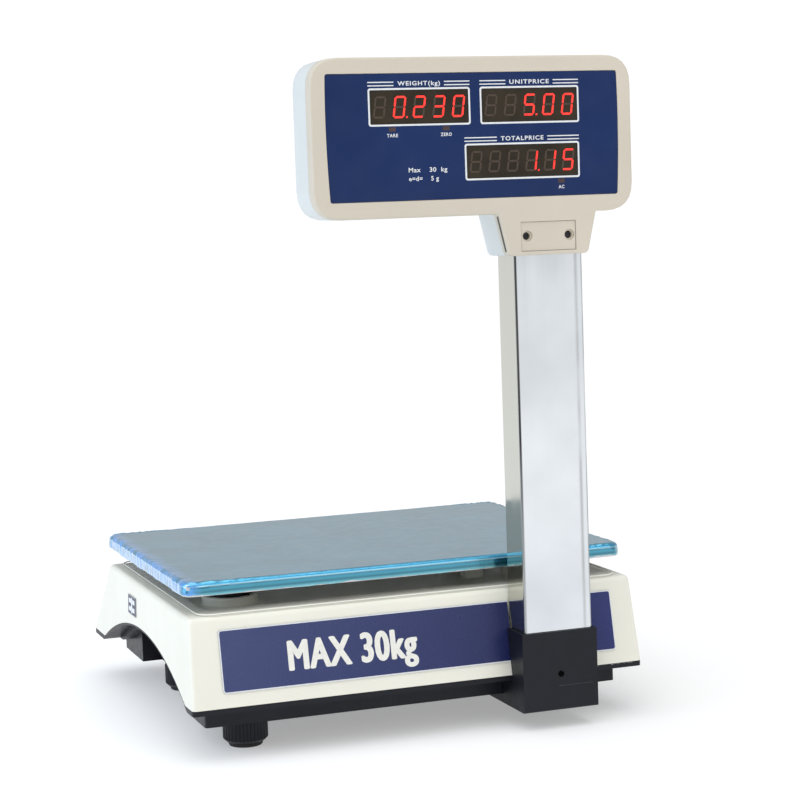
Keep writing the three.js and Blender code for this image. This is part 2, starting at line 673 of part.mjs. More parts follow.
function addInlet(face) {
  const socket = extrudeX(rectangle(INLET.y - SOCKET.halfWidth, INLET.y + SOCKET.halfWidth,
    INLET.z - SOCKET.halfHeight, INLET.z + SOCKET.halfHeight, SOCKET.halfHeight - 0.1),
  face - SOCKET.depth, face + 1);
  const tools = [solid(socket)];
  for (const [name, side] of [["live", -1], ["neutral", 1]]) {
    const y = INLET.y + side * PIN.spacing / 2;
    const end = face - PIN.sunk;
    const hole = cylinderX(PIN.radius + GAP, end - 2 * PIN.length, end + 0.5, y, INLET.z, 12);
    const pin = cylinderX(PIN.radius, end - PIN.length, end, y, INLET.z, 12);
    tools.push(solid(hole));
    add(`inlet_pin_${name}`, pin, STEEL());
  }
  add("power_inlet", cut(portBody(INLET), tools), BLACK());
}

function addSwitch(face) {
  const well = box(face - WELL.depth, face + 1, SWITCH.y - WELL.halfWidth, SWITCH.y + WELL.halfWidth,
    SWITCH.z - WELL.halfHeight, SWITCH.z + WELL.halfHeight);
  const wires = box(GRIP.inner - SWITCH.bodyDepth, GRIP.inner - 5, SWITCH.y - 3, SWITCH.y + 3,
    SWITCH.z - 2, SWITCH.z + 2);
  add("switch_frame", portBody(SWITCH).subtract(solid(well)).subtract(solid(wires)), BLACK());
  add("switch_rocker", makeRocker(face), BLACK());
}

// The rocker turns on an axis along Z at its middle; its two faces meet in a shallow valley.
function makeRocker(face) {
  const profile = roundedPolygon([
    [-5.2, -2.6], [0, -4], [5.2, -2.6], [6.3, 1.4, 0.5], [0, 1.2], [-6.3, 3.2, 0.5],
  ]);
  const rocker = extrudeZ(profile, SWITCH.z - ROCKER.halfHeight, SWITCH.z + ROCKER.halfHeight, 3);
  rocker.rotateZ(-Math.PI / 2);
  rocker.translate(face - ROCKER.axisBehindFace, SWITCH.y, 0);
  return rocker;
}

function addPower() {
  const face = GRIP.inner + FLANGE.thickness;
  addInlet(face);
  addSwitch(face);
  addTransformer();
  const batteryBottom = TRAY_FLOOR + GAP;
  add("battery", box(BATTERY.left, BATTERY.right, BATTERY.front, BATTERY.back,
    batteryBottom, batteryBottom + BATTERY.height), finish(0x33363b, 0.6));
  add("battery_door", box(DOOR.left, DOOR.right, DOOR.front, DOOR.back, TRAY.bottom + 0.1,
    TRAY.bottom + DOOR.thickness - GAP), BLACK());
}

function addTransformer() {
  const { x, y, halfX, halfY, height, coilX, coilY, coilFrom, ears } = TRANSFORMER;
  const z = TRAY_FLOOR + GAP;
  const core = solid(box(x - halfX, x + halfX, y - halfY, y + halfY, z, z + height));
  const coil = solid(extrudeZ(rectangle(x - coilX, x + coilX, y - coilY, y + coilY, 4),
    z + coilFrom, z + height - coilFrom));
  const flange = solid(box(x - ears, x + ears, y - halfY + 1, y + halfY - 1, z, z + 2));
  add("transformer", joined([core, coil, flange]), finish(0x6d6f72, 0.5, 0.6));
}

// ---------------------------------------------------------------- level

function addLevel() {
  const { x, y, half, height, floor } = LEVEL;
  const z = RECESS_FLOOR + GAP;
  const holder = solid(box(x - half, x + half, y - half, y + half, z, z + height));
  const bore = solid(cylinderZ(LEVEL.bore, x, y, z + floor, z + height + 8, 24));
  add("level_holder", holder.subtract(bore), IVORY());
  const vial = cylinderZ(LEVEL.vial, x, y, z + floor + GAP, z + height + 0.6, 24);
  add("level_vial", vial, finish(0xbfe08a, 0.1));
}

// ---------------------------------------------------------------- pole

// Side outline of the bracket: a box in front of the casing with a tongue under the tray.
function bracketOutline() {
  const lean = COVER.frontDraft / (COVER.top - COVER.bottom);
  const clear = 1;
  const wallAt = (z) => COVER.front - clear + (z - COVER.bottom) * lean;
  const underside = TRAY.bottom - GAP;
  return roundedPolygon([
    [BRACKET.front, BRACKET.bottom, 2], [BRACKET.tongueEnd, BRACKET.bottom], [BRACKET.tongueEnd, underside],
    [TRAY.front - clear, underside], [TRAY.front - clear, TRAY.rimBottom - clear],
    [COVER.front - clear, TRAY.rimBottom - clear], [COVER.front - clear, COVER.bottom],
    [wallAt(BRACKET.top), BRACKET.top], [BRACKET.front, BRACKET.top, 1],
  ]);
}

function makeBracket() {
  const blank = solid(extrudeX(bracketOutline(), BRACKET.left, BRACKET.right, 4));
  const bore = solid(box(POLE.left - GAP, POLE.right + GAP, POLE.front - GAP, -130,
    POLE.bottom - GAP, ABOVE_ARCH));
  const tongue = solid(box(BRACKET.left + WALL, BRACKET.right - WALL, POLE.back + 2, BRACKET.tongueEnd + 4,
    BRACKET.bottom + WALL, TRAY.bottom + 10));
  const screwHole = solid(cylinderY(2.5, POLE_X, BRACKET.front - 5, BRACKET.front + 5, BRACKET.screwZ, 20));
  const footRoom = solid(box(FOOT.xFront - FOOT.radius - 3, BRACKET.right + 1,
    FOOT.front - FOOT.radius - 3, BRACKET.tongueEnd + 4, 0, TRAY.bottom));
  return cut(blank, [bore, tongue, screwHole, footRoom]);
}

function makePole(neckScrews) {
  const inner = POLE.sheet;
  const outside = rectangle(POLE.left, POLE.right, POLE.front, POLE.back, 2);
  const inside = rectangle(POLE.left + inner, POLE.right - inner, POLE.front + inner, POLE.back - inner, 1);
  const tube = solid(extrudeZ(outside, POLE.bottom, POLE.top))
    .subtract(solid(extrudeZ(inside, POLE.bottom - 5, POLE.top + 5)));
  const cableExit = solid(cylinderY(8, POLE_X, POLE.back - 5, POLE.back + 5, 60, 24));
  const drilled = neckScrews.map((x) =>
    solid(cylinderY(2.2, x, POLE.front - 5, POLE.front + 5, NECK_SCREW.z, 16)));
  const bracketHole = solid(cylinderY(1.9, POLE_X, POLE.front - 5, POLE.front + 5, BRACKET.screwZ, 16));
  return cut(tube, [cableExit, bracketHole, ...drilled]);
}

function addPole(neckScrews) {
  add("pole_bracket", makeBracket(), BLACK());
  add("pole_tube", makePole(neckScrews), CHROME());
  add("pole_screw", makeScrew(POLE_X, BRACKET.front + 0.8, BRACKET.screwZ, 2.2, 1.4, 9), BLACK());
  neckScrews.forEach((x, i) => {
    add(`neck_screw_${i + 1}`, makeScrew(x, HEAD.front + 4.4, NECK_SCREW.z, 2.6, 1.8, 8), BLACK());
  });
}

// A screw along +Y: a pan head at y and a shaft of the given length behind it.
function makeScrew(x, y, z, headRadius, shaftRadius, length) {
  const head = solid(cylinderY(headRadius, x, y, y + 1.4, z, 16));
  const shaft = solid(cylinderY(shaftRadius, x, y + 1, y + length, z, 16));
  return head.add(shaft);
}

// The lead from the main board, along the tray and up inside the pole to the head.
function addCable() {
  const route = new THREE.CatmullRomCurve3([
    [72, 118, 72], [86, 108, 58], [98, 88, 44], [101, 50, 36], [101, 0, 34], [101, -60, 34], [99, -104, 40],
    [98, -132, 55], [POLE_X, -148, 61], [POLE_X, -157, 74], [POLE_X, -159, 110], [POLE_X, -159, 230],
    [POLE_X, -159, 340], [POLE_X, -159, 392],
  ].map(([x, y, z]) => new THREE.Vector3(x, y, z)), false, "centripetal");
  const section = new THREE.Shape();
  section.absarc(0, 0, 2.2, 0, 2 * Math.PI);
  const cable = new THREE.ExtrudeGeometry(section, { steps: 48, extrudePath: route, curveSegments: 4 });
  add("display_cable", cable, RUBBER());
}

// ---------------------------------------------------------------- display head

// Front view of the head: a rounded rectangle with a tapering neck round the pole.
function headOutline(inset) {
  const edge = HEAD.radius - inset;
  return roundedPolygon([
    [NECK.x + NECK.halfTop - inset, HEAD.bottom + inset, 2],
    [HEAD.right - inset, HEAD.bottom + inset, edge],
    [HEAD.right - inset, HEAD.top - inset, edge],
    [HEAD.left + inset, HEAD.top - inset, edge],
    [HEAD.left + inset, HEAD.bottom + inset, edge],
    [NECK.x - NECK.halfTop + inset, HEAD.bottom + inset, 2],
    [NECK.x - NECK.halfBottom + inset, NECK.bottom + inset, 4],
    [NECK.x + NECK.halfBottom - inset, NECK.bottom + inset, 4],
  ]);
}

function panelOutline(grow) {
  const [left, right] = [PANEL.left - grow, PANEL.right + grow];
  const [bottom, top] = [PANEL.bottom - grow, PANEL.top + grow];
  const middle = (bottom + top) / 2;
  const shape = new THREE.Shape();
  shape.moveTo(left + PANEL.radius + 1, bottom);
  shape.lineTo(right - PANEL.radius - 1, bottom);
  shape.quadraticCurveTo(right - 1, bottom, right - 1, bottom + PANEL.radius);
  shape.quadraticCurveTo(right + PANEL.bow, middle, right, top - PANEL.radius);
  shape.quadraticCurveTo(right, top, right - PANEL.radius, top);
  shape.lineTo(left + PANEL.radius, top);
  shape.quadraticCurveTo(left, top, left, top - PANEL.radius);
  shape.quadraticCurveTo(left - PANEL.bow, middle, left + 1, bottom + PANEL.radius);
  shape.quadraticCurveTo(left + 1, bottom, left + PANEL.radius + 1, bottom);
  return shape;
}

function addHead(neckScrews) {
  const wall = 3.5;
  const whole = solid(softExtrudeY(headOutline(0), HEAD.front, HEAD.back, 2, 6));
  const inside = solid(extrudeY(headOutline(WALL), HEAD.front + wall, HEAD.back - WALL, 6));
  const poleHole = solid(box(POLE.left - 0.4, POLE.right + 0.4, POLE.front - 0.4, POLE.back + 0.4, 340, 379));
  const screwPosts = neckScrews.map((x) =>
    solid(cylinderY(4.5, x, HEAD.front + 3, POLE.front - 0.5, NECK_SCREW.z, 20)));
  const shell = joined([whole.subtract(inside), ...screwPosts]).subtract(poleHole);

  const ahead = solid(box(-300, 300, -300, HEAD_SEAM - GAP / 2, 300, 600));
  const behind = solid(box(-300, 300, HEAD_SEAM + GAP / 2, 300, 300, 600));
  const pocket = solid(extrudeY(panelOutline(0.3), HEAD.front - 5, HEAD.front + 1.5, 8));
  const plateRecess = solid(box(NECK.x - NECK_PLATE.halfWidth, NECK.x + NECK_PLATE.halfWidth,
    HEAD.front - 5, HEAD.front + NECK_PLATE.depth, NECK_PLATE.bottom, NECK_PLATE.top));
  const windows = CUSTOMER_WINDOWS.map((w) =>
    solid(box(w.left + 1, w.right - 1, HEAD.front - 5, HEAD.front + 8, w.bottom + 1, w.top - 1)));
  const counterbores = neckScrews.map((x) =>
    solid(cylinderY(4, x, HEAD.front - 5, HEAD.front + 2.6, NECK_SCREW.z, 24)));
  const screwHoles = neckScrews.map((x) =>
    solid(cylinderY(2.8, x, HEAD.front - 5, HEAD.front + 20, NECK_SCREW.z, 20)));
  add("head_front_shell",
    cut(shell.intersect(ahead), [pocket, plateRecess, ...windows, ...counterbores, ...screwHoles]), BEIGE());
  add("head_rear_shell", shell.intersect(behind), BEIGE());

  add("head_panel", extrudeY(panelOutline(0), HEAD.front + 0.4, HEAD.front + 1.2, 8), NAVY());
  const boardY = HEAD.front + HEAD_BOARD.behindFront;
  add("head_board", box(HEAD_BOARD.left, HEAD_BOARD.right, boardY, boardY + BOARD_THICKNESS,
    HEAD_BOARD.bottom, HEAD_BOARD.top), BOARD());
  for (const w of CUSTOMER_WINDOWS) {
    const module = box(w.left + 2, w.right - 2, HEAD.front + 2, boardY - GAP, w.bottom + 2, w.top - 2);
    add(w.name, module, LED());
  }
}

addCasing();
addLabels();
addOperatorPanel();
addLoadPath();
addPan();
addFeet();
addPower();
addLevel();
const neckScrews = [-1, 1].map((side) => NECK.x + (side * NECK_SCREW.spacing) / 2);
addPole(neckScrews);
addCable();
addHead(neckScrews);

export default scale;
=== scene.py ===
"""Looks of the retail price scale: finishes, printing, display figures, keys, pan film, lights and camera.

Metres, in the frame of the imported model. Sizes that a reader thinks of in millimetres are written n * MM.
"""

import json
import math

import bmesh
import bpy
from mathutils import Matrix, Vector, noise


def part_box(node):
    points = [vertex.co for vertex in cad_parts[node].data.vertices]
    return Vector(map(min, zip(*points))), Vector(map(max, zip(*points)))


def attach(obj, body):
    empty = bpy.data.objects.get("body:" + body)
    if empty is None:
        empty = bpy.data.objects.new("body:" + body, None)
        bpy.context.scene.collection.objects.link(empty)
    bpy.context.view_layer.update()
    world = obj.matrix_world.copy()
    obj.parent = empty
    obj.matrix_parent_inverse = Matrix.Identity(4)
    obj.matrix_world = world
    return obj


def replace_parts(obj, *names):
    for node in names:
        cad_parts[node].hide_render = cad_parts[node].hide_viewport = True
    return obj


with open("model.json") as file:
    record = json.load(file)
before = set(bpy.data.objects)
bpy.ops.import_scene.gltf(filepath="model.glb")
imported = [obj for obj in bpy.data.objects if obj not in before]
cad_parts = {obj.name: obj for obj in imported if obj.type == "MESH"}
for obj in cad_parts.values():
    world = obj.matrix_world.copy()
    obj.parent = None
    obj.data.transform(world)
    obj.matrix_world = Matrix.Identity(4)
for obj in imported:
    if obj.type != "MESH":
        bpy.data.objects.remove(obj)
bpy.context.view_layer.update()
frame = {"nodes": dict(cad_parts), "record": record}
MM = 0.001


def in_mm(**sizes):
    """A table of sizes given in millimetres."""
    return {name: size * MM for name, size in sizes.items()}


# -------- camera, lights, floor

CAMERA = {
    "place": Vector((-0.517, -1.5787, 0.3903)),
    "turn": math.radians(19.534),
    "tilt": math.radians(5.401),
    "roll": math.radians(-2.011),
    "lens": 95.5,
    "sensor": 36,
}
AIM = (0, 0, 0.2)  # where the area lights point
# Each area light's place, width and height, power and colour.
AREA_LIGHTS = {
    "left_light": ((-1.9, 0.1, 0.8), (1.2, 1.6), 12, (0.52, 0.73, 1)),
    "front_light": ((0.9, -2.4, 1.3), (1.8, 1.2), 6.6, (1, 0.95, 0.88)),
}
OVERHEAD = {"strength": 1.6, "spread": math.radians(75), "lean": (math.radians(12), math.radians(-14), 0)}
WORLD = {"seen": 1.05, "lighting": 0.5, "tint": (0.94, 0.97, 1)}
FLOOR = {"radius": 40, "sides": 96, "grey": (0.7, 0.7, 0.7), "roughness": 0.9, "glow": 0.34}
WHITE = (1, 1, 1, 1)


def new_object(name, data):
    made = bpy.data.objects.new(name, data)
    bpy.context.scene.collection.objects.link(made)
    return made


def mesh_from(name, shape):
    """Turns a finished bmesh into a mesh."""
    mesh = bpy.data.meshes.new(name)
    shape.to_mesh(mesh)
    shape.free()
    return mesh


def fill(made, values):
    """Sets several inputs of a node."""
    for name, value in values.items():
        made.inputs[name].default_value = value
    return made


def add_camera():
    data = bpy.data.cameras.new("camera")
    data.lens = CAMERA["lens"]
    data.sensor_width = CAMERA["sensor"]
    camera = new_object("camera", data)
    turn_sin, turn_cos = math.sin(CAMERA["turn"]), math.cos(CAMERA["turn"])
    tilt_sin, tilt_cos = math.sin(CAMERA["tilt"]), math.cos(CAMERA["tilt"])
    forward = Vector((turn_sin * tilt_cos, turn_cos * tilt_cos, -tilt_sin))
    level_right = Vector((turn_cos, -turn_sin, 0))
    level_up = level_right.cross(forward)
    right = math.cos(CAMERA["roll"]) * level_right + math.sin(CAMERA["roll"]) * level_up
    up = right.cross(forward)
    axes = Matrix((right, up, -forward)).transposed().to_4x4()
    camera.matrix_world = Matrix.Translation(CAMERA["place"]) @ axes
    bpy.context.scene.camera = camera


def add_world():
    """Plain white where the camera sees it, and a weaker, cooler white for lighting and reflections."""
    world = bpy.data.worlds.new("studio")
    bpy.context.scene.world = world
    world.use_nodes = True
    nodes = world.node_tree.nodes
    seen, lighting = nodes["Background"], node(world, "ShaderNodeBackground")
    fill(seen, {"Color": WHITE, "Strength": WORLD["seen"]})
    fill(lighting, {"Color": (*WORLD["tint"], 1), "Strength": WORLD["lighting"]})
    paths, mix = node(world, "ShaderNodeLightPath"), node(world, "ShaderNodeMixShader")
    link(world, paths.outputs["Is Camera Ray"], mix.inputs[0])
    link(world, lighting.outputs[0], mix.inputs[1])
    link(world, seen.outputs[0], mix.inputs[2])
    link(world, mix.outputs[0], nodes["World Output"].inputs["Surface"])


def add_lights():
    for name, (place, size, power, colour) in AREA_LIGHTS.items():
        data = bpy.data.lights.new(name, "AREA")
        data.shape = "RECTANGLE"
        data.size, data.size_y = size
        data.energy = power
        data.color = colour
        light = new_object(name, data)
        light.location = place
        light.rotation_euler = (Vector(AIM) - Vector(place)).to_track_quat("-Z", "Y").to_euler()
    sun = bpy.data.lights.new("overhead", "SUN")
    sun.energy = OVERHEAD["strength"]
    sun.angle = OVERHEAD["spread"]
    new_object("overhead", sun).rotation_euler = OVERHEAD["lean"]


def add_floor():
    """A wide pale floor with a faint glow of its own, so that it fades into the white background."""
    shape = bmesh.new()
    bmesh.ops.create_circle(shape, cap_ends=True, radius=FLOOR["radius"], segments=FLOOR["sides"])
    floor = new_object("studio_floor", mesh_from("studio_floor", shape))
    paint = plain_material("floor_paint", FLOOR["grey"], FLOOR["roughness"])
    glow = {"Emission Color": WHITE, "Emission Strength": FLOOR["glow"], "Specular IOR Level": 0}
    fill(shader_of(paint), glow)
    floor.data.materials.append(paint)


# -------- finishes


def shader_of(mat):
    return mat.node_tree.nodes["Principled BSDF"]


def plain_material(name, colour, roughness, metallic=0.0):
    mat = bpy.data.materials.new(name)
    mat.use_nodes = True
    fill(shader_of(mat), {"Base Color": (*colour, 1), "Roughness": roughness, "Metallic": metallic})
    return mat


def link(mat, source, target):
    mat.node_tree.links.new(source, target)


def node(mat, kind, **values):
    """A new node of a material or the world."""
    made = mat.node_tree.nodes.new(kind)
    for name, value in values.items():
        if name in made.inputs:
            made.inputs[name].default_value = value
        else:
            setattr(made, name, value)
    return made


def noise_node(mat, scale, detail=2.0, stretch=(1, 1, 1)):
    """Noise over the object's own metres. stretch above 1 packs it closer along that axis."""
    place = node(mat, "ShaderNodeTexCoord")
    mapping = node(mat, "ShaderNodeMapping", Scale=stretch)
    texture = node(mat, "ShaderNodeTexNoise", Scale=scale, Detail=detail)
    link(mat, place.outputs["Object"], mapping.inputs["Vector"])
    link(mat, mapping.outputs["Vector"], texture.inputs["Vector"])
    return texture.outputs["Fac"]


def range_node(mat, source, low, high, from_low=0.3, from_high=0.7):
    """Goes from low to high as a grey source goes from from_low to from_high."""
    made = fill(node(mat, "ShaderNodeMapRange"),
                {"From Min": from_low, "From Max": from_high, "To Min": low, "To Max": high})
    link(mat, source, made.inputs["Value"])
    return made.outputs["Result"]


def bump_node(mat, height, depth, before=None):
    made = node(mat, "ShaderNodeBump", Distance=depth, Strength=1.0)
    link(mat, height, made.inputs["Height"])
    if before is not None:
        link(mat, before, made.inputs["Normal"])
    return made.outputs["Normal"]


WAVE_SCALE = 22
COAT_ROUGHNESS = 0.06


def finish(name, colour, roughness, metallic=0.0, tint=0.05, cloud=14, grain=2600, depth=0.02,
           stretch=(1, 1, 1), spread=0.06, coat=0.0, waves=0.0, shine=0.5):
    """A moulded, cast or drawn surface: cloudy colour, uneven gloss, fine grain and, for film, slow waves.

    tint and spread are how far colour and roughness vary. cloud and grain are noise scales, a metre.
    depth and waves, the heights of the grain and of the waves, are in millimetres.
    """
    mat = plain_material(name, colour, roughness, metallic)
    shader = shader_of(mat)
    shader.inputs["Specular IOR Level"].default_value = shine
    darker = tuple(c * (1 - tint) for c in colour)
    lighter = tuple(min(1, c * (1 + tint)) for c in colour)
    clouds = steps_node(mat, noise_node(mat, cloud, 5), [(0.35, darker), (0.65, lighter)])
    link(mat, clouds, shader.inputs["Base Color"])
    worn = noise_node(mat, cloud * 6, 6, stretch)
    gloss = range_node(mat, worn, max(0.02, roughness - spread), roughness + spread)
    link(mat, gloss, shader.inputs["Roughness"])
    bump = bump_node(mat, noise_node(mat, grain, 2, stretch), depth * MM)
    if waves:
        bump = bump_node(mat, noise_node(mat, WAVE_SCALE, 1), waves * MM, before=bump)
    link(mat, bump, shader.inputs["Normal"])
    if coat:
        fill(shader, {"Coat Weight": coat, "Coat Roughness": COAT_ROUGHNESS})
    return mat


def share_node(mat, axis, start, end):
    """How far a point lies from start to end along one of the object's axes, 0 to 1."""
    place, split = node(mat, "ShaderNodeTexCoord"), node(mat, "ShaderNodeSeparateXYZ")
    link(mat, place.outputs["Object"], split.inputs["Vector"])
    return range_node(mat, split.outputs[axis], 0, 1, start, end)


def steps_node(mat, source, stops):
    """A ramp through several stops, each a place from 0 to 1 and a grey or a colour."""
    ramp = node(mat, "ShaderNodeValToRGB")
    elements = ramp.color_ramp.elements
    while len(elements) < len(stops):
        elements.new(0.5)
    for element, (place, value) in zip(elements, stops):
        element.position = place
        element.color = (*value, 1) if isinstance(value, tuple) else (value, value, value, 1)
    link(mat, source, ramp.inputs["Fac"])
    return ramp.outputs["Color"]


def product_node(mat, *sources):
    """The product of several grey sources."""
    result = sources[0]
    for source in sources[1:]:
        made = node(mat, "ShaderNodeMath", operation="MULTIPLY")
        link(mat, result, made.inputs[0])
        link(mat, source, made.inputs[1])
        result = made.outputs[0]
    return result


def blend_in(mat, name, factor, value):
    """Mixes a colour, a grey or another source into one of the shader's inputs, as a factor says."""
    socket = shader_of(mat).inputs[name]
    mix = node(mat, "ShaderNodeMix")
    mix.data_type = "RGBA"
    now = socket.links[0].from_socket if socket.is_linked else socket.default_value
    for side, source in (("A", now), ("B", value)):
        if isinstance(source, bpy.types.NodeSocket):
            link(mat, source, mix.inputs[side])
        elif isinstance(source, tuple):
            mix.inputs[side].default_value = (*source, 1)
        else:
            mix.inputs[side].default_value = (source, source, source, 1)
    link(mat, factor, mix.inputs["Factor"])
    link(mat, mix.outputs["Result"], socket)


# Stops are shares of the pole's width or height and how strong a mark is there. The marks are painted shade,
# painted dark reflections and a darker stripe.
POLE_MARKS = {
    "left_face_shade": (0.585, 0.585, 0.53),
    "corner_across": [(0, 1), (0.026, 1), (0.038, 0)],
    "corner_upwards": [(0.25, 0.25), (0.55, 1)],
    "corner_reflection": (0.03, 0.03, 0.035),
    "edge_reflections_and_stripe_across": [(0, 0.8), (0.02, 0.55), (0.035, 0.0), (0.86, 0.0), (0.895, 0.42), (0.93, 0.0),
                     (0.968, 0.0), (0.985, 0.7)],
    "edge_reflections_and_stripe": (0.13, 0.115, 0.1),
    "edges_and_stripe_roughness": 0.5,
}


def chrome_finish():
    """Bright plating with smudges. Its left face is darkened by painted shade; its front face has painted
    dark reflections down the left corner and along both edges, and a darker stripe near the right edge.
    """
    mat = finish("chrome", (0.69, 0.72, 0.745), 0.12, 1, tint=0.07, cloud=13, grain=1500, depth=0.001,
                 stretch=(1, 1, 0.02), spread=0.05)
    low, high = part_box("pole_tube")
    across = share_node(mat, "X", low.x, high.x)
    upwards = share_node(mat, "Z", low.z, high.z)
    in_front = share_node(mat, "Y", low.y + 1.2 * MM, low.y + 0.6 * MM)
    on_left = share_node(mat, "X", low.x + 0.5 * MM, low.x + 0.2 * MM)
    # Painted shade on the pole's left face.
    blend_in(mat, "Base Color", on_left, POLE_MARKS["left_face_shade"])
    # Painted dark reflection down the left front corner, fading upwards.
    corner = steps_node(mat, across, POLE_MARKS["corner_across"])
    fading = steps_node(mat, upwards, POLE_MARKS["corner_upwards"])
    blend_in(mat, "Base Color", product_node(mat, corner, fading, in_front), POLE_MARKS["corner_reflection"])
    # Painted dark reflections along the front face's edges, and a darker stripe near the right edge.
    marks = steps_node(mat, across, POLE_MARKS["edge_reflections_and_stripe_across"])
    broken = range_node(mat, noise_node(mat, 26, 5, (1, 1, 0.5)), 0.25, 1, 0.35, 0.6)
    edge_reflections_and_stripe = product_node(mat, marks, in_front, broken)
    blend_in(mat, "Base Color", edge_reflections_and_stripe, POLE_MARKS["edge_reflections_and_stripe"])
    blend_in(mat, "Roughness", edge_reflections_and_stripe, POLE_MARKS["edges_and_stripe_roughness"])
    return mat


# The film skirt's painted reflections, bands of light and shade with a thin highlight, from its lower edge at
# 0 to the pan's top at 1.
FILM_SKIRT_REFLECTIONS = [
    (0, (0.5, 0.78, 0.84)), (0.1, (0.16, 0.5, 0.6)), (0.3, (0.018, 0.16, 0.23)), (0.5, (0.05, 0.32, 0.44)),
    (0.66, (0.03, 0.23, 0.36)), (0.74, (0.55, 0.85, 0.95)), (0.8, (0.05, 0.42, 0.72)),
    (0.97, (0.06, 0.38, 0.62))]
BUNCHED_BLUE = (0.13, 0.42, 0.95)
BUNCHED_METAL = 0.25


def film_finish():
    """Blue film on satin steel: painted reflections in bands where it turns down, bright blue where it's
    bunched at the left.
    """
    mat = finish("pan_film", (0.12, 0.43, 0.6), 0.22, 0.85, tint=0.12, cloud=16, grain=900, depth=0.01,
                 spread=0.06, coat=1.0, waves=0.2)
    low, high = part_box("pan")
    height = share_node(mat, "Z", low.z, high.z)
    on_skirt = range_node(mat, height, 1, 0, 0.94, 0.99)
    # Painted reflections in bands up the skirt.
    blend_in(mat, "Base Color", on_skirt, steps_node(mat, height, FILM_SKIRT_REFLECTIONS))
    edge = share_node(mat, "X", low.x + 13 * MM, low.x + 3 * MM)
    ragged = range_node(mat, noise_node(mat, 110, 4), 0.15, 1, 0.36, 0.56)
    bunched = product_node(mat, edge, ragged)
    blend_in(mat, "Base Color", bunched, BUNCHED_BLUE)
    blend_in(mat, "Metallic", bunched, BUNCHED_METAL)
    return mat


# Painted light and shade along the label, from its left end at 0 to its right end at 1.
LABEL_SHEEN_AND_SHADE = [
    (0, (0.05, 0.066, 0.18)), (0.3, (0.036, 0.05, 0.155)), (0.66, (0.018, 0.026, 0.11)),
    (0.76, (0.004, 0.007, 0.06)), (0.88, (0.016, 0.024, 0.13)), (1, (0.026, 0.036, 0.16))]


def label_finish():
    """Glossy navy label film with painted sheen, paler towards its ends, and painted shade, darkest beside
    the pole.
    """
    mat = finish("label_film", (0.03, 0.037, 0.13), 0.27, tint=0.1, cloud=12, grain=2200, depth=0.006,
                 waves=0.1, spread=0.03, shine=0.4)
    start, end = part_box("front_label")[0].x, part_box("front_label_end")[1].x
    along = steps_node(mat, share_node(mat, "X", start, end), LABEL_SHEEN_AND_SHADE)
    uneven = range_node(mat, noise_node(mat, 30, 4), 0.75, 1)
    # Painted sheen and shade along the label, broken up by noise.
    blend_in(mat, "Base Color", uneven, along)
    return mat


def lit_finish(name, colour, glow):
    """A lit LED segment, a little uneven."""
    mat = plain_material(name, colour, 0.4)
    shader = shader_of(mat)
    deep = (colour[0] * 0.8, colour[1] * 0.5, colour[2] * 0.5)
    light = steps_node(mat, noise_node(mat, 420, 1), [(0.35, deep), (0.65, colour)])
    for socket in ("Base Color", "Emission Color"):
        link(mat, light, shader.inputs[socket])
    shader.inputs["Emission Strength"].default_value = glow
    return mat


FINISHES = {
    "ivory_abs": finish("ivory_plastic", (0.88, 0.865, 0.765), 0.42, tint=0.02, grain=3200, depth=0.012),
    "beige_abs": finish("beige_plastic", (0.67, 0.61, 0.51), 0.46, tint=0.025, grain=3200, depth=0.012),
    "black_abs": finish("black_plastic", (0.0065, 0.0075, 0.0125), 0.42, tint=0.15, cloud=30, grain=2400,
                        depth=0.025, spread=0.05, shine=0.29),
    "navy_film": finish("navy_film", (0.0075, 0.026, 0.11), 0.14, tint=0.1, cloud=10, grain=2200,
                        depth=0.004, waves=0.16, shine=0.3),
    "keypad_film": finish("keypad_film", (0.006, 0.024, 0.115), 0.3, tint=0.08, cloud=10, grain=2600,
                          depth=0.012, waves=0.06, shine=0.3),
    "grey_film": finish("grey_film", (0.3, 0.31, 0.33), 0.32, 0.6, tint=0.1, grain=2000, depth=0.006),
    "stainless_pan": finish("stainless_steel", (0.56, 0.58, 0.6), 0.24, 1, tint=0.05, grain=2600,
                            depth=0.004, stretch=(0.02, 1, 1)),
    "chrome_tube": chrome_finish(),
    "machined_aluminium": finish("machined_aluminium", (0.6, 0.61, 0.63), 0.35, 1, stretch=(1, 0.03, 1)),
    "cast_aluminium": finish("cast_aluminium", (0.45, 0.46, 0.48), 0.55, 1, tint=0.12, grain=1400,
                             depth=0.12),
    "black_rubber": finish("black_rubber", (0.014, 0.014, 0.015), 0.72, tint=0.25, grain=1800, depth=0.05),
    "zinc_screw": finish("zinc_plate", (0.55, 0.56, 0.58), 0.3, 1, tint=0.1, cloud=120),
    "black_screw": finish("black_oxide", (0.03, 0.03, 0.033), 0.4, 0.8, tint=0.2, cloud=120),
    "plated_pin": finish("nickel_plate", (0.66, 0.64, 0.6), 0.22, 1, tint=0.06, cloud=160),
    "switch_plastic": finish("gloss_black", (0.015, 0.015, 0.017), 0.2, tint=0.15, depth=0.006),
    "laminated_steel": finish("laminations", (0.16, 0.16, 0.17), 0.5, 0.7, tint=0.2, grain=1200, depth=0.08,
                              stretch=(0.02, 0.02, 1)),
    "battery_case": finish("battery_case", (0.045, 0.047, 0.055), 0.55, tint=0.2, depth=0.04),
    "circuit_board": finish("solder_mask", (0.015, 0.11, 0.045), 0.3, tint=0.3, cloud=260, depth=0.03),
    "led_module": finish("smoked_lens", (0.034, 0.026, 0.016), 0.14, tint=0.2, cloud=40, grain=1600,
                         depth=0.003, shine=0.25),
    "vial": finish("green_spirit", (0.32, 0.62, 0.1), 0.06, tint=0.15, cloud=90, depth=0.002, coat=1.0),
    "cable_sheath": finish("cable_sheath", (0.03, 0.03, 0.032), 0.6, tint=0.2, depth=0.03),
}
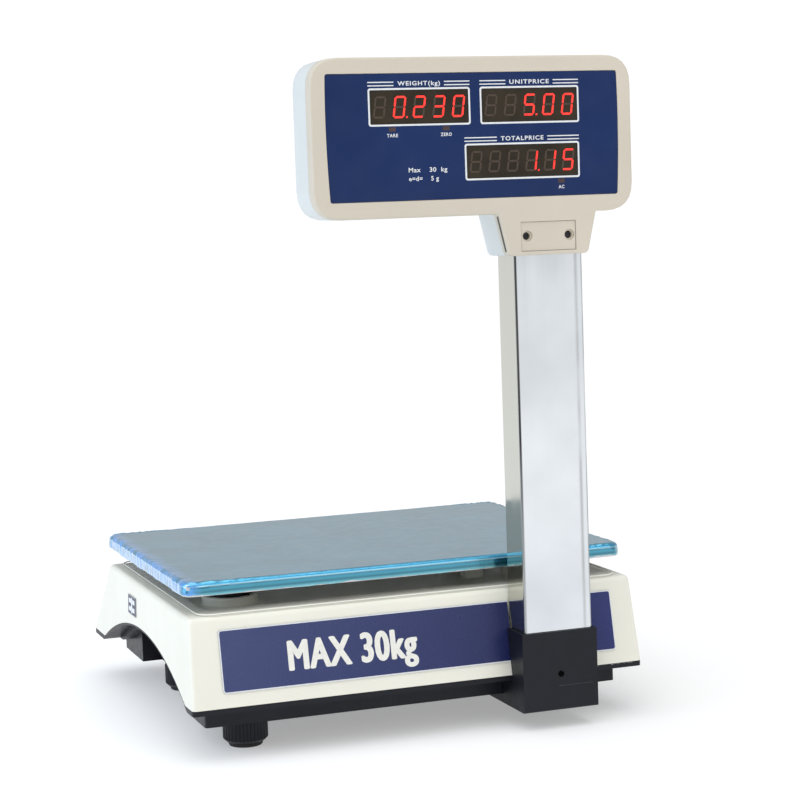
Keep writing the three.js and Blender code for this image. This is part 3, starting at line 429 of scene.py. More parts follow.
WHITE_INK = finish("white_ink", (0.82, 0.84, 0.86), 0.35, tint=0.04, cloud=300, depth=0.004)
DARK_INK = finish("dark_ink", (0.03, 0.04, 0.09), 0.4, tint=0.1, cloud=300, depth=0.004)
KEY_WHITE, KEY_BLUE, KEY_RED = [
    finish(name, colour, 0.36, tint=tint, cloud=200, depth=0.01) for name, colour, tint in
    [("key_white", (0.74, 0.76, 0.76), 0.04), ("key_blue", (0.16, 0.34, 0.62), 0.06),
     ("key_red", (0.62, 0.08, 0.06), 0.06)]]
LIT = lit_finish("led_lit", (0.9, 0.03, 0.02), 1.25)
UNLIT = finish("led_unlit", (0.058, 0.036, 0.021), 0.3, tint=0.15, cloud=300, depth=0.003)
LAMP_OFF = finish("lamp_off", (0.062, 0.034, 0.038), 0.25, tint=0.15, cloud=300, depth=0.003)
SHADOW_INK = finish("shadow_line", (0.26, 0.235, 0.2), 0.6, tint=0.1, cloud=300, depth=0.004)
LENS_EDGE = finish("lens_edge", (0.006, 0.004, 0.004), 0.4, tint=0.1, cloud=300, depth=0.004)
# Near black for the screw set deep in the bracket's hole: painted shade of the hole.
SCREW_HOLE_SHADE = finish("screw_hole_shade", (0.002, 0.002, 0.002), 0.9, tint=0.1, depth=0.01, shine=0.05)
# A slightly lighter line on the black bracket: a painted highlight along a ridge.
RIDGE_HIGHLIGHT = finish("ridge_highlight", (0.03, 0.032, 0.04), 0.5, tint=0.2, depth=0.02)
SCUFF = finish("scuffed_plastic", (0.3, 0.3, 0.31), 0.6, tint=0.3, cloud=500, depth=0.02)
LABEL_FILM = label_finish()
LABEL_INK = finish("label_ink", (0.86, 0.85, 0.79), 0.35, tint=0.04, cloud=300, depth=0.004)
# The rear shell's plastic made cooler and paler than the beige: painted cool light from the left.
REAR_SHELL = finish("rear_shell_cool_light", (0.72, 0.74, 0.73), 0.44, tint=0.025, grain=3200, depth=0.012)
PAN_FILM = film_finish()
# The width of the rounding on a CAD node's edges.
EDGE = 0.35 * MM
EDGE_OF = {"housing_cover": 0.8 * MM, "head_front_shell": 0.5 * MM, "base_tray": 0.5 * MM}
OWN_FINISH = {"front_label": LABEL_FILM, "front_label_end": LABEL_FILM, "pole_screw": SCREW_HOLE_SHADE,
              "head_rear_shell": REAR_SHELL}


def paint_cad_nodes():
    for part in frame["record"]["subparts"]:
        piece = frame["nodes"][part["node"]]
        piece.data.materials.clear()
        piece.data.materials.append(OWN_FINISH.get(part["node"], FINISHES[part["material_slot"]]))
        soften(piece, EDGE_OF.get(part["node"], EDGE))


def smooth_group():
    """Smooth shading, but for edges sharper than SMOOTH_BELOW."""
    group = bpy.data.node_groups.new("smooth_by_angle", "GeometryNodeTree")
    for kind in ("INPUT", "OUTPUT"):
        group.interface.new_socket("Geometry", in_out=kind, socket_type="NodeSocketGeometry")
    nodes, links = group.nodes, group.links
    start, end = nodes.new("NodeGroupInput"), nodes.new("NodeGroupOutput")
    faces, edges = nodes.new("GeometryNodeSetShadeSmooth"), nodes.new("GeometryNodeSetShadeSmooth")
    edges.domain = "EDGE"
    edges.inputs["Shade Smooth"].default_value = False
    angle, sharp = nodes.new("GeometryNodeInputMeshEdgeAngle"), nodes.new("FunctionNodeCompare")
    sharp.operation = "GREATER_THAN"
    sharp.inputs[1].default_value = SMOOTH_BELOW
    links.new(start.outputs[0], faces.inputs["Geometry"])
    links.new(faces.outputs[0], edges.inputs["Geometry"])
    links.new(angle.outputs["Unsigned Angle"], sharp.inputs[0])
    links.new(sharp.outputs[0], edges.inputs["Selection"])
    links.new(edges.outputs[0], end.inputs[0])
    return group


SMOOTH_BELOW = math.radians(32)
FLAT_BELOW = math.radians(0.6)
WELD_BELOW = 0.002 * MM
SMOOTH_GROUP = smooth_group()


def soften(piece, width):
    """Joins a CAD node's facets, rounds its sharp edges a little and shades its curves smooth."""
    if "custom_normal" in piece.data.attributes:
        piece.data.attributes.remove(piece.data.attributes["custom_normal"])
    piece.modifiers.new("weld", "WELD").merge_threshold = WELD_BELOW
    flat = piece.modifiers.new("flat", "DECIMATE")
    flat.decimate_type = "DISSOLVE"
    flat.angle_limit = FLAT_BELOW
    edge = piece.modifiers.new("edges", "BEVEL")
    edge.width = width
    edge.segments = 2
    edge.limit_method = "ANGLE"
    edge.angle_limit = SMOOTH_BELOW
    piece.modifiers.new("smooth", "NODES").node_group = SMOOTH_GROUP
    level = piece.modifiers.new("flat_faces", "WEIGHTED_NORMAL")
    level.keep_sharp = True
    level.weight = 100


# -------- shape helpers


def add_piece(name, mesh, mat, body):
    mesh.name = name
    mesh.materials.clear()
    mesh.materials.append(mat)
    piece = new_object(name, mesh)
    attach(piece, body)
    return piece


def rounded(x0, x1, y0, y1, radius, steps=5):
    """Corner points of a rounded rectangle, anticlockwise."""
    points = []
    centres = [(x1 - radius, y1 - radius), (x0 + radius, y1 - radius),
               (x0 + radius, y0 + radius), (x1 - radius, y0 + radius)]
    for corner, (x, y) in enumerate(centres):
        for i in range(steps + 1):
            angle = math.radians(90 * (corner + i / steps))
            points.append((x + radius * math.cos(angle), y + radius * math.sin(angle)))
    return points


FACING = 0.97  # a polygon's normal along a direction, to count as facing it


def span(points):
    """The lowest and the highest corner of the box round some points."""
    return [Vector([pick(p[k] for p in points) for k in range(3)]) for pick in (min, max)]


def flat_face(name, toward):
    """A frame at a flat face's middle, x level, y up the face and z out of it, and the face's size."""
    mesh = frame["nodes"][name].data
    facing = [p for p in mesh.polygons if p.normal.dot(Vector(toward).normalized()) > FACING]
    out = max(facing, key=lambda p: p.area).normal.copy()
    level = Vector((0, 0, 1)).cross(out).normalized()
    up = out.cross(level)
    turn = Matrix((level, up, out)).transposed().to_4x4()
    low, high = span([turn.inverted() @ mesh.vertices[i].co for p in facing for i in p.vertices])
    return turn @ Matrix.Translation((low + high) / 2), high - low


def local_box(name, face):
    """Lowest and highest corner of a CAD node in a face's own frame."""
    back = face.inverted()
    return span([back @ v.co for v in frame["nodes"][name].data.vertices])


def add_shape(name, shape, face, mat):
    """Makes a piece of the base body from a bmesh drawn on a face."""
    bmesh.ops.recalc_face_normals(shape, faces=shape.faces)
    shape.transform(face)
    return add_piece(name, mesh_from(name, shape), mat, "base")


def prisms(name, outlines, face, z0, z1, mat):
    """Extrudes each outline, points [x, y] on a face, from z0 to z1 above it, into one piece."""
    shape = bmesh.new()
    for points in outlines:
        lower = [shape.verts.new((x, y, z0)) for x, y in points]
        upper = [shape.verts.new((x, y, z1)) for x, y in points]
        count = len(points)
        shape.faces.new(lower[::-1])
        shape.faces.new(upper)
        for i in range(count):
            j = (i + 1) % count
            shape.faces.new((lower[i], lower[j], upper[j], upper[i]))
    return add_shape(name, shape, face, mat)


def loops_mesh(name, loops, face, mat, closed=True):
    """Skins loops of points, all with as many points. Closed joins the last loop to the first."""
    shape = bmesh.new()
    rows = [[shape.verts.new(p) for p in loop] for loop in loops]
    pairs = list(zip(rows, rows[1:] + rows[:1])) if closed else list(zip(rows, rows[1:]))
    for a, b in pairs:
        count = len(a)
        for i in range(count):
            j = (i + 1) % count
            shape.faces.new((a[i], a[j], b[j], b[i]))
    if not closed:
        shape.faces.new(rows[0][::-1])
        shape.faces.new(rows[-1])
    return add_shape(name, shape, face, mat)


def ring(name, outer, inner, face, z0, z1, mat):
    """A flat ring between two outlines."""
    def at(points, z):
        return [(x, y, z) for x, y in points]
    return loops_mesh(name, [at(outer, z0), at(outer, z1), at(inner, z1), at(inner, z0)], face, mat)


def strip(name, corners, out, mat):
    """A thin plate: a polygon of points in space and the same polygon moved outwards."""
    lower = [Vector(c) for c in corners]
    loops = [lower, [c + out for c in lower]]
    return loops_mesh(name, loops, Matrix.Identity(4), mat, closed=False)


def facing_customer(place):
    """A frame on the customer's side: x to the right, y up and z out of the scale."""
    face = Matrix(((1, 0, 0), (0, 0, 1), (0, -1, 0))).transposed().to_4x4()
    face.translation = place
    return face


def mesh_of_curve(data):
    """The mesh that a text or a filled curve makes."""
    holder = new_object("outline", data)
    bpy.context.view_layer.update()
    mesh = bpy.data.meshes.new_from_object(holder.evaluated_get(bpy.context.evaluated_depsgraph_get()))
    bpy.data.objects.remove(holder)
    return mesh


CAPITAL = 0.729  # of the built-in face, for a size of 1
INK = 0.05 * MM  # how far printing stands off its film


def text_mesh(words, height, width=None, bold=0.0, spacing=1.0):
    """A flat text with its baseline's middle at the origin. height is its capitals', width is the whole's."""
    data = bpy.data.curves.new("words", "FONT")
    data.body = words
    data.align_x = "CENTER"
    data.size = height / CAPITAL
    data.offset = bold
    data.extrude = 0.02 * MM
    data.resolution_u = 4
    data.space_character = spacing
    mesh = mesh_of_curve(data)
    xs = [v.co.x for v in mesh.vertices]
    mesh.transform(Matrix.Translation((-(max(xs) + min(xs)) / 2, 0, 0)))
    if width is not None:
        mesh.transform(Matrix.Diagonal((width / (max(xs) - min(xs)), 1, 1, 1)))
    return mesh


def thickened(mesh, reach):
    """Adds copies of a flat text shifted round an ellipse, which thickens its strokes."""
    flatness, layer = 0.6, 0.002 * MM
    shape = bmesh.new()
    turns = [math.radians(angle) for angle in range(0, 360, 30)]
    shifts = [(0, 0)] + [(math.cos(turn), math.sin(turn)) for turn in turns]
    for number, (x, y) in enumerate(shifts):
        copy = mesh.copy()
        copy.transform(Matrix.Translation((x * reach, y * reach * flatness, number * layer)))
        shape.from_mesh(copy)
        bpy.data.meshes.remove(copy)
    shape.to_mesh(mesh)
    shape.free()
    return mesh


def place_text(name, mesh, face, x, y, z, mat):
    mesh.transform(face @ Matrix.Translation((x, y, z)))
    return add_piece(name, mesh, mat, "base")


def add_text(name, words, face, x, y, height, mat, width=None, bold=0.0, z=0.04 * MM, spacing=1.0):
    return place_text(name, text_mesh(words, height, width, bold, spacing), face, x, y, z, mat)


# -------- display figures

SEGMENTS_OF = {"0": "abcdef", "1": "bc", "2": "abged", "3": "abgcd", "5": "afgcd", "8": "abcdefg", " ": ""}
DIGIT = in_mm(
    height=15.3, width=8.6, stroke=1.35,
    gap=0.16,  # at each end of a segment
    point=1.9,  # from the figure's side to the middle of its point
    inset=7.4,  # from the window's ends to the middle of its first and last figure
)
SLANT = math.tan(math.radians(8))
WINDOW = in_mm(
    margin=2,  # past the display module behind it
    corner=0.8, depth=0.55, lens=0.2, overlap=0.3, lens_corner=1,
    line=1.25,  # the white frame
    line_corner=1.8,
    rim=0.55,  # the dark rim inside the window
    rim_corner=0.4,
)
TITLE = in_mm(
    height=3, rise=2.95, rule=0.75, gap=3,
    past=1.2,  # how far the rules reach past the window's ends
)
RULES_AT = (2.6 * MM, 4.95 * MM)
# Each window's name, figures, title, title width and number of places.
READOUTS = [
    ("weight", "0.230", "WEIGHT(kg)", 31.5 * MM, 5),
    ("unit_price", "5.00", "UNITPRICE", 30.4 * MM, 5),
    ("total_price", "1.15", "TOTALPRICE", 32.8 * MM, 6),
]


def segment_outlines():
    """The seven bars of a figure, each a hexagon, and the point, all leaning to the right."""
    w, h, t = DIGIT["width"] / 2, DIGIT["height"] / 2, DIGIT["stroke"] / 2

    def bar(x0, y0, x1, y1):
        along = (Vector((x1, y1)) - Vector((x0, y0))).normalized()
        side = Vector((-along.y, along.x)) * t
        a = Vector((x0, y0)) + along * DIGIT["gap"]
        b = Vector((x1, y1)) - along * DIGIT["gap"]
        return [a, a + along * t - side, b - along * t - side, b, b - along * t + side, a + along * t + side]

    x, y = w - t, h - t
    bars = {"a": bar(-x, y, x, y), "b": bar(x, 0, x, y), "c": bar(x, -y, x, 0), "d": bar(-x, -y, x, -y),
            "e": bar(-x, -y, -x, 0), "f": bar(-x, 0, -x, y), "g": bar(-x, 0, x, 0)}
    turns = [math.radians(30 * i) for i in range(12)]
    bars["."] = [Vector((w + DIGIT["point"] + t * math.cos(a), -y + t * math.sin(a))) for a in turns]
    return {name: [(p.x + p.y * SLANT, p.y) for p in points] for name, points in bars.items()}


def cells_of(figures, places):
    """Each place's figure and whether a point follows it, with blank places first."""
    cells = []
    for mark in figures:
        if mark == ".":
            cells[-1] = (cells[-1][0], True)
        else:
            cells.append((mark, False))
    return [(" ", False)] * (places - len(cells)) + cells


def add_figures(name, cells, face, x0, x1, y, z):
    """The lit and the unlit segments of a window's figures, on its lens at z."""
    lit, unlit = [], []
    shapes = segment_outlines()
    pitch = (x1 - x0 - 2 * DIGIT["inset"]) / (len(cells) - 1)
    for place, (mark, point) in enumerate(cells):
        x = x0 + DIGIT["inset"] + place * pitch
        on = SEGMENTS_OF[mark] + ("." if point else "")
        for key, points in shapes.items():
            if key != "." or point:
                (lit if key in on else unlit).append([(x + px, y + py) for px, py in points])
    prisms(f"{name}_lit", lit, face, z, z + 0.06 * MM, LIT)
    prisms(f"{name}_unlit", unlit, face, z, z + 0.02 * MM, UNLIT)


def readout(name, module, face, figures, title, title_width, places):
    """One display window: smoked lens, figures lit and unlit, white frame, title and the rules beside it."""
    low, high = local_box(module, face)
    margin, deep = WINDOW["margin"], -WINDOW["depth"]
    x0, x1, y0, y1 = low.x - margin, high.x + margin, low.y - margin, high.y + margin

    def outline(grow, corner):
        return rounded(x0 - grow, x1 + grow, y0 - grow, y1 + grow, corner)

    prisms(f"{name}_lens", [outline(WINDOW["overlap"], WINDOW["lens_corner"])], face,
           deep - WINDOW["lens"], deep, FINISHES["led_module"])
    add_figures(name, cells_of(figures, places), face, x0, x1, (y0 + y1) / 2, deep)
    ring(f"{name}_border", outline(WINDOW["line"], WINDOW["line_corner"]), outline(0, WINDOW["corner"]), face,
         0, INK, WHITE_INK)
    ring(f"{name}_lens_edge", outline(0.1 * MM, WINDOW["corner"]),
         outline(-WINDOW["rim"], WINDOW["rim_corner"]), face, deep, deep + 0.1 * MM, LENS_EDGE)
    add_title(name, title, title_width, face, x0, x1, y1)
    return x0, x1, y0, y1


def add_title(name, words, width, face, x0, x1, top):
    """A title over a window, between pairs of rules."""
    middle, reach = (x0 + x1) / 2, width / 2 + TITLE["gap"]
    add_text(f"{name}_title", words, face, middle, top + TITLE["rise"], TITLE["height"], WHITE_INK,
             width, bold=0.09 * MM, spacing=1.2)
    rules = []
    for rise in RULES_AT:
        y0, y1 = top + rise, top + rise + TITLE["rule"]
        for a, b in ((x0 - TITLE["past"], middle - reach), (middle + reach, x1 + TITLE["past"])):
            rules.append([(a, y0), (b, y0), (b, y1), (a, y1)])
    prisms(f"{name}_rules", rules, face, 0, INK, WHITE_INK)


def square(x, y, half_width, half_height):
    return [(x - half_width, y - half_height), (x + half_width, y - half_height),
            (x + half_width, y + half_height), (x - half_width, y + half_height)]


def panel_with_windows(name, node_name, face, windows, mat):
    """A film of a CAD plate's outline and thickness, with a hole for each window."""
    mesh = frame["nodes"][node_name].data
    front = [p for p in mesh.polygons if p.normal.dot(face.col[2].xyz) > FACING]
    data = bpy.data.curves.new(name, "CURVE")
    data.dimensions = "2D"
    data.fill_mode = "BOTH"
    low, _ = local_box(node_name, face)
    data.extrude = -low.z / 2
    holes = [rounded(*window, WINDOW["corner"]) for window in windows]
    for points in [outer_loop(front, mesh, face.inverted())] + holes:
        spline = data.splines.new("POLY")
        spline.points.add(len(points) - 1)
        for target, (x, y) in zip(spline.points, points):
            target.co = (x, y, 0, 1)
        spline.use_cyclic_u = True
    film = mesh_of_curve(data)
    film.transform(face @ Matrix.Translation((0, 0, low.z / 2)))
    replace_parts(add_piece(name, film, mat, "base"), node_name)


def outer_loop(polygons, mesh, back):
    """The boundary of flat polygons as a loop of points in the face's frame."""
    count, following = {}, {}
    for p in polygons:
        keys = [tuple(round(v, 7) for v in (back @ mesh.vertices[i].co)[:2]) for i in p.vertices]
        for a, b in zip(keys, keys[1:] + keys[:1]):
            count[frozenset((a, b))] = count.get(frozenset((a, b)), 0) + 1
            following.setdefault(a, []).append(b)

    def after(point):
        return next((b for b in following[point] if count[frozenset((point, b))] == 1), None)

    loop = [next(a for a in following if after(a) is not None)]
    while after(loop[-1]) != loop[0]:
        loop.append(after(loop[-1]))
    return loop


LAMP = in_mm(
    half_width=2.5, half_height=1.5,
    drop=3.5,  # below the window
    word_drop=8.8, letters=2.35,
)
# Each lamp's name, word, word's width and window, the end of the window it's measured from, 0 the left and
# 1 the right, and how far to the right of that end it is.
LAMPS = [
    ("tare", "TARE", 8.1 * MM, "weight", 0, 15.9 * MM),
    ("zero", "ZERO", 8.3 * MM, "weight", 0, 55.9 * MM),
    ("mains", "AC", 4.5 * MM, "total_price", 1, -13.4 * MM),
]
# The capacity and its division: name, words, width, and rise above the total window's lower edge.
CAPACITY = [
    ("capacity", "Max    30  kg", 28.8 * MM, 5.7 * MM),
    ("division", "e=d=    5 g", 22.3 * MM, -0.4 * MM),
]
CAPACITY_LEFT = 43.6 * MM  # from where both lines start to the total window


def add_customer_side():
    face, _ = flat_face("head_panel", (0, -1, 0))
    windows = {}
    for name, figures, title, width, places in READOUTS:
        windows[name] = readout(f"customer_{name}", f"{name}_display", face, figures, title, width, places)
    panel_with_windows("display_panel", "head_panel", face, windows.values(), FINISHES["navy_film"])
    for name, words, width, window, end, along in LAMPS:
        x, bottom = windows[window][end] + along, windows[window][2]
        prisms(f"lamp_{name}", [square(x, bottom - LAMP["drop"], LAMP["half_width"], LAMP["half_height"])],
               face, 0, 0.1 * MM, LAMP_OFF)
        add_text(f"lamp_{name}_word", words, face, x, bottom - LAMP["word_drop"], LAMP["letters"], WHITE_INK,
                 width, bold=0.08 * MM, spacing=1.2)
    left, bottom = windows["total_price"][0] - CAPACITY_LEFT, windows["total_price"][2]
    for name, words, width, rise in CAPACITY:
        add_text(f"{name}_words", words, face, left + width / 2, bottom + rise, 3.2 * MM, WHITE_INK,
                 width, bold=0.08 * MM, spacing=1.1)


FAR = 1  # a start for rays, well outside the scale
NECK = in_mm(
    half_width=21.3,  # of the recessed plate
    half_height=10.5,
    plate_drop=0.4,  # its middle below the screws'
    line=0.35, recess=0.79,
    joint=2.6,  # behind the front
    joint_width=2.9,
    foot=3,  # the joint's lower end above the neck's
    head=12,  # its upper end above the screws
)


def add_neck_lines():
    """Shadow lines round the recessed plate of the neck and down the joint at its left side."""
    shell = frame["nodes"]["head_front_shell"]
    low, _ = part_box("head_front_shell")
    screws = [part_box(f"neck_screw_{i}") for i in (1, 2)]
    centre = sum((a + b for a, b in screws), Vector()) / 4
    plate = facing_customer((centre.x, low.y, centre.z - NECK["plate_drop"]))
    half_x, half_z, line, recess = NECK["half_width"], NECK["half_height"], NECK["line"], NECK["recess"]
    ring("neck_plate_line", rounded(-half_x, half_x, -half_z, half_z, 0.5 * MM),
         rounded(line - half_x, half_x - line, line - half_z, half_z - line, 0.4 * MM),
         plate, -recess, 0.08 * MM - recess, SHADOW_INK)

    def side_at(z):
        start = Vector((low.x - FAR, low.y + NECK["joint"], z))
        return shell.ray_cast(start, Vector((1, 0, 0)))[1]

    foot = side_at(low.z + NECK["foot"])
    head = side_at(screws[0][1].z + NECK["head"])
    deep, thin = Vector((0, NECK["joint_width"], 0)), Vector((-0.1 * MM, 0, 0))
    strip("neck_joint", [foot, head, head + deep, foot + deep], thin, LENS_EDGE)


# -------- labels on the casing


LABEL = in_mm(
    line=0.8, corner=2.5, letters=21.5, width=96, thickening=1.1,
    along=-12,  # from the label's middle
)


def open_border(size, line, radius, side):
    """A line round three sides of a label, open where the pole parts it; side is that of its closed end."""
    half_x, half_y = size.x / 2, size.y / 2

    def bend(inset, r):
        turns = [math.radians(90 * i / 6) for i in range(7)]
        corner_x, corner_y = half_x - inset - r, half_y - inset - r
        upper = [(corner_x + r * math.sin(a), corner_y + r * math.cos(a)) for a in turns]
        lower = [(x, -y) for x, y in reversed(upper)]
        return [(-half_x, half_y - inset)] + upper + lower + [(-half_x, -half_y + inset)]

    points = bend(0, radius) + bend(line, radius - line)[::-1]
    return [(side * x, y) for x, y in points]


def add_front_label():
    for name, side in (("front_label", -1), ("front_label_end", 1)):
        face, size = flat_face(name, (0, -1, 0))
        prisms(f"{name}_border", [open_border(size, LABEL["line"], LABEL["corner"], side)], face,
               0.01 * MM, 0.06 * MM, WHITE_INK)
    face, _ = flat_face("front_label", (0, -1, 0))
    words = text_mesh("MAX 30kg", LABEL["letters"], LABEL["width"], spacing=1.1)
    place_text("capacity_title", thickened(words, LABEL["thickening"]), face, LABEL["along"],
               -LABEL["letters"] / 2, INK, LABEL_INK)


def add_side_label():
    """A dark ground with two columns of light blocks, in place of the photo's mark."""
    face, size = flat_face("side_label", (-1, 0, 0))
    prisms("side_label_ground", [square(0, 0, size.x * 0.47, size.y * 0.45)], face, 0.01 * MM, 0.04 * MM,
           DARK_INK)
    column, row = size.x * 0.23, size.y * 0.21
    blocks = [square(x * column, z * row, column * 0.6, row * 0.55) for x in (-1, 1) for z in (-1, 1)]
    blocks.append(square(0, 0, column * 0.3, size.y * 0.4))
    prisms("side_label_blocks", blocks, face, 0.04 * MM, 0.07 * MM, WHITE_INK)


BEAD = {
    "step": 0.1 * MM,
    "fall": 1 * MM,
    "from_side": 12 * MM,  # where the search starts, on the flat rim of the cover's top
    "from_front": 16 * MM,
    "from_slope": 8 * MM,
    "corner": 10 * MM,
    # outwards from the recess and up from the cover's top
    "profile": [(out * MM, z * MM) for out, z in
                [(0.1, -0.05), (0.1, 0.35), (0.4, 0.6), (1.0, 0.6), (1.3, 0.35), (1.3, -0.05)]],
}


def add_recess_bead():
    """A low rounded bead round the recess under the pan. Rays cast down on the cover find its edges."""
    cover = frame["nodes"]["housing_cover"]
    low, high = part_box("housing_cover")

    def recess_edge(x, y, step_x, step_y):
        """Steps from a place on the cover's top until the cover falls away."""
        place, step = Vector((x, y, high.z + FAR)), Vector((step_x, step_y, 0)) * BEAD["step"]
        while abs(cover.ray_cast(place, Vector((0, 0, -1)))[1].z - high.z) < BEAD["fall"]:
            place += step
        return place

    beside = low.y * 0.3
    left = recess_edge(low.x + BEAD["from_side"], beside, 1, 0).x
    right = recess_edge(high.x - BEAD["from_side"], beside, -1, 0).x
    front = recess_edge(left / 2, low.y + BEAD["from_front"], 0, 1).y
    back = recess_edge(left / 2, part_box("keypad_overlay")[0].y - BEAD["from_slope"], 0, -1).y
    loops = []
    for out, z in BEAD["profile"]:
        outline = rounded(left - out, right + out, front - out, back + out, BEAD["corner"] + out)
        loops.append([(x, y, z) for x, y in outline])
    loops_mesh("recess_bead", loops, Matrix.Translation((0, 0, high.z)), FINISHES["ivory_abs"])


RIDGE_AT = {"start": 0.47, "end": 4 * MM, "height": 18 * MM, "line": 0.35 * MM}
CHIPS = {"below": 0.4 * MM, "from": 2 * MM, "pitch": 1.45 * MM, "steps": 26, "least": -0.05}


def add_ridge_highlight_and_chips():
    """A faint ridge on the bracket drawn as a painted highlight line, and chips along the tray's rim beside
    it.
    """
    low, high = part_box("pole_bracket")
    left, right = low.x + (high.x - low.x) * RIDGE_AT["start"], high.x - RIDGE_AT["end"]
    lower = low.z + RIDGE_AT["height"]
    upper = lower + RIDGE_AT["line"]
    corners = [(left, low.y, lower), (right, low.y, lower), (right, low.y, upper), (left, low.y, upper)]
    # Painted highlight along the bracket's ridge.
    strip("bracket_ridge", corners, Vector((0, -0.08 * MM, 0)), RIDGE_HIGHLIGHT)
    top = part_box("housing_cover")[0].z - CHIPS["below"]
    chips = []
    for step in range(CHIPS["steps"]):
        x = high.x + CHIPS["from"] + step * CHIPS["pitch"]
        wave = noise.noise(Vector((x * 700, 0.3, 0.7)))
        if wave < CHIPS["least"]:
            continue
        long, tall = (0.6 + 1.4 * wave) * MM, (0.3 + 0.5 * abs(wave)) * MM
        chips.append([(x - long, top - tall), (x + long * 0.4, top - tall * 1.3), (x + long, top),
                      (x - long * 0.7, top)])
    rim = facing_customer((0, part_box("base_tray")[0].y, 0))
    prisms("rim_chips", chips, rim, 0, INK, SCUFF)


# -------- operator's side

KEY = {
    "pitch_x": 15.2 * MM,
    "pitch_y": 11.3 * MM,
    "width": 13 * MM,
    "height": 9.2 * MM,
    "radius": 1.8 * MM,
    "below": 8.4 * MM,  # the top row's middle below the windows
    "from_left": 13 * MM,  # the first column's middle from the film's left end
    # inwards from the key's foot and up from the film: its foot, shoulder and crown
    "profile": [(inset * MM, z * MM) for inset, z in [(0, 0), (0.1, 0.16), (0.5, 0.32), (1.4, 0.4)]],
}
# Height and thickening of a key's lettering, for one or two letters and for a word.
SHORT_WORD = (4.2 * MM, 0.14 * MM)
LONG_WORD = (2.1 * MM, 0.06 * MM)
ITEM_COLUMNS = 10
NUMBER_ROWS = ["789", "456", "123", "0"]
FUNCTION_ROWS = [["ADD", "CLEAR"], ["CHANGE", "TARE"], ["LIGHT", "ZERO"], ["PRINT", "TOTAL"]]


def key_dome(x, y, width, height):
    """Loops of an embossed key: a rounded foot, a shoulder and a soft crown."""
    loops = []
    for inset, z in KEY["profile"]:
        half_x, half_y = width / 2 - inset, height / 2 - inset
        corner = max(KEY["radius"] - inset * 0.7, 0.4 * MM)
        outline = rounded(x - half_x, x + half_x, y - half_y, y + half_y, corner)
        loops.append([(px, py, z) for px, py in outline])
    return loops


def add_key(name, words, face, x, y, mat, ink, columns=1):
    width = KEY["width"] + (columns - 1) * KEY["pitch_x"]
    middle = x + (columns - 1) * KEY["pitch_x"] / 2
    dome = key_dome(middle, y, width, KEY["height"])
    loops_mesh(f"key_{name}", dome, face, mat, closed=False)
    tall, bold = SHORT_WORD if len(words) <= 2 else LONG_WORD
    add_text(f"key_{name}_word", words, face, middle, y - tall / 2, tall, ink, z=0.42 * MM,
             bold=bold)


def add_operator_side():
    face, size = flat_face("keypad_overlay", (0, 1, 1))
    windows = [readout(f"operator_{name}", f"operator_{name}_display", face, *rest)
               for name, *rest in READOUTS]
    panel_with_windows("keypad_film", "keypad_overlay", face, windows, FINISHES["keypad_film"])
    top = min(y0 for _, _, y0, _ in windows) - KEY["below"]
    left = -size.x / 2 + KEY["from_left"]
    numbers = left + (ITEM_COLUMNS + 1) * KEY["pitch_x"]
    functions = numbers + 4 * KEY["pitch_x"]
    for row, marks in enumerate(NUMBER_ROWS):
        y = top - row * KEY["pitch_y"]
        for column in range(ITEM_COLUMNS):
            number = row * ITEM_COLUMNS + column + 1
            x = left + column * KEY["pitch_x"]
            add_key(f"item_{number}", f"M{number}", face, x, y, KEY_BLUE, WHITE_INK)
        for column, mark in enumerate(marks):
            x = numbers + column * KEY["pitch_x"]
            add_key(f"number_{mark}", mark, face, x, y, KEY_WHITE, DARK_INK, columns=2 if mark == "0" else 1)
        if marks == "0":
            add_key("point", ".", face, numbers + 2 * KEY["pitch_x"], y, KEY_WHITE, DARK_INK)
        for column, words in enumerate(FUNCTION_ROWS[row]):
            mat = KEY_RED if words == "CLEAR" else KEY_BLUE
            add_key(words.lower(), words, face, functions + column * KEY["pitch_x"], y, mat, WHITE_INK)


# -------- pan film

FILM = {
    "lift": 0.12 * MM,  # off the pan
    "thick": 0.08 * MM,
    "corner": 9 * MM, "least_corner": 1.5 * MM,
    "roll": 3 * MM,  # the radius at which it turns down
    "roll_steps": 5,
    "skirt": (0.25, 0.5, 0.75, 0.9, 1.0),  # rings down the skirt, as shares of its height
    "torn": 1.3 * MM,  # how far up the tears reach
    "torn_rings": 3,
    "pucker": 0.9 * MM,
    "most": 1.0 * MM,  # that it stands off
    "left": 14 * MM,  # how far in from the left it's bunched
    "insets": [inset * MM for inset in (110, 80, 50, 28, 14, 8, 4.5, 2.2, 1, 0.4)],
    "side_x": 170,  # steps along each side, and round each corner
    "side_y": 130,
    "bend": 16,
}
# Scales of the noise in the film, a metre.
PUCKER_SCALE, CREASE_SCALE, TEAR_SCALE, FRINGE_SCALE = 60, 190, 55, 260


def around(half_x, half_y, radius):
    """Points and outward directions round a rounded rectangle, as many on each side whatever its size."""
    corners = [((half_x, -half_y), 0, FILM["side_x"]), ((half_x, half_y), 90, FILM["side_y"]),
               ((-half_x, half_y), 180, FILM["side_x"]), ((-half_x, -half_y), 270, FILM["side_y"])]
    found = []
    for (x, y), turn, steps in corners:
        heading = math.radians(turn)
        along = Vector((math.cos(heading), math.sin(heading)))
        out = Vector((along.y, -along.x))
        corner = Vector((x, y))
        length = 2 * (half_x if steps == FILM["side_x"] else half_y) - 2 * radius
        for i in range(steps):
            found.append((corner - along * (radius + length * (1 - i / steps)), out))
        centre = corner - (along + out) * radius
        for i in range(FILM["bend"]):
            angle = i / FILM["bend"] * math.pi / 2
            spoke = out * math.cos(angle) + along * math.sin(angle)
            found.append((centre + spoke * radius, spoke))
    return found


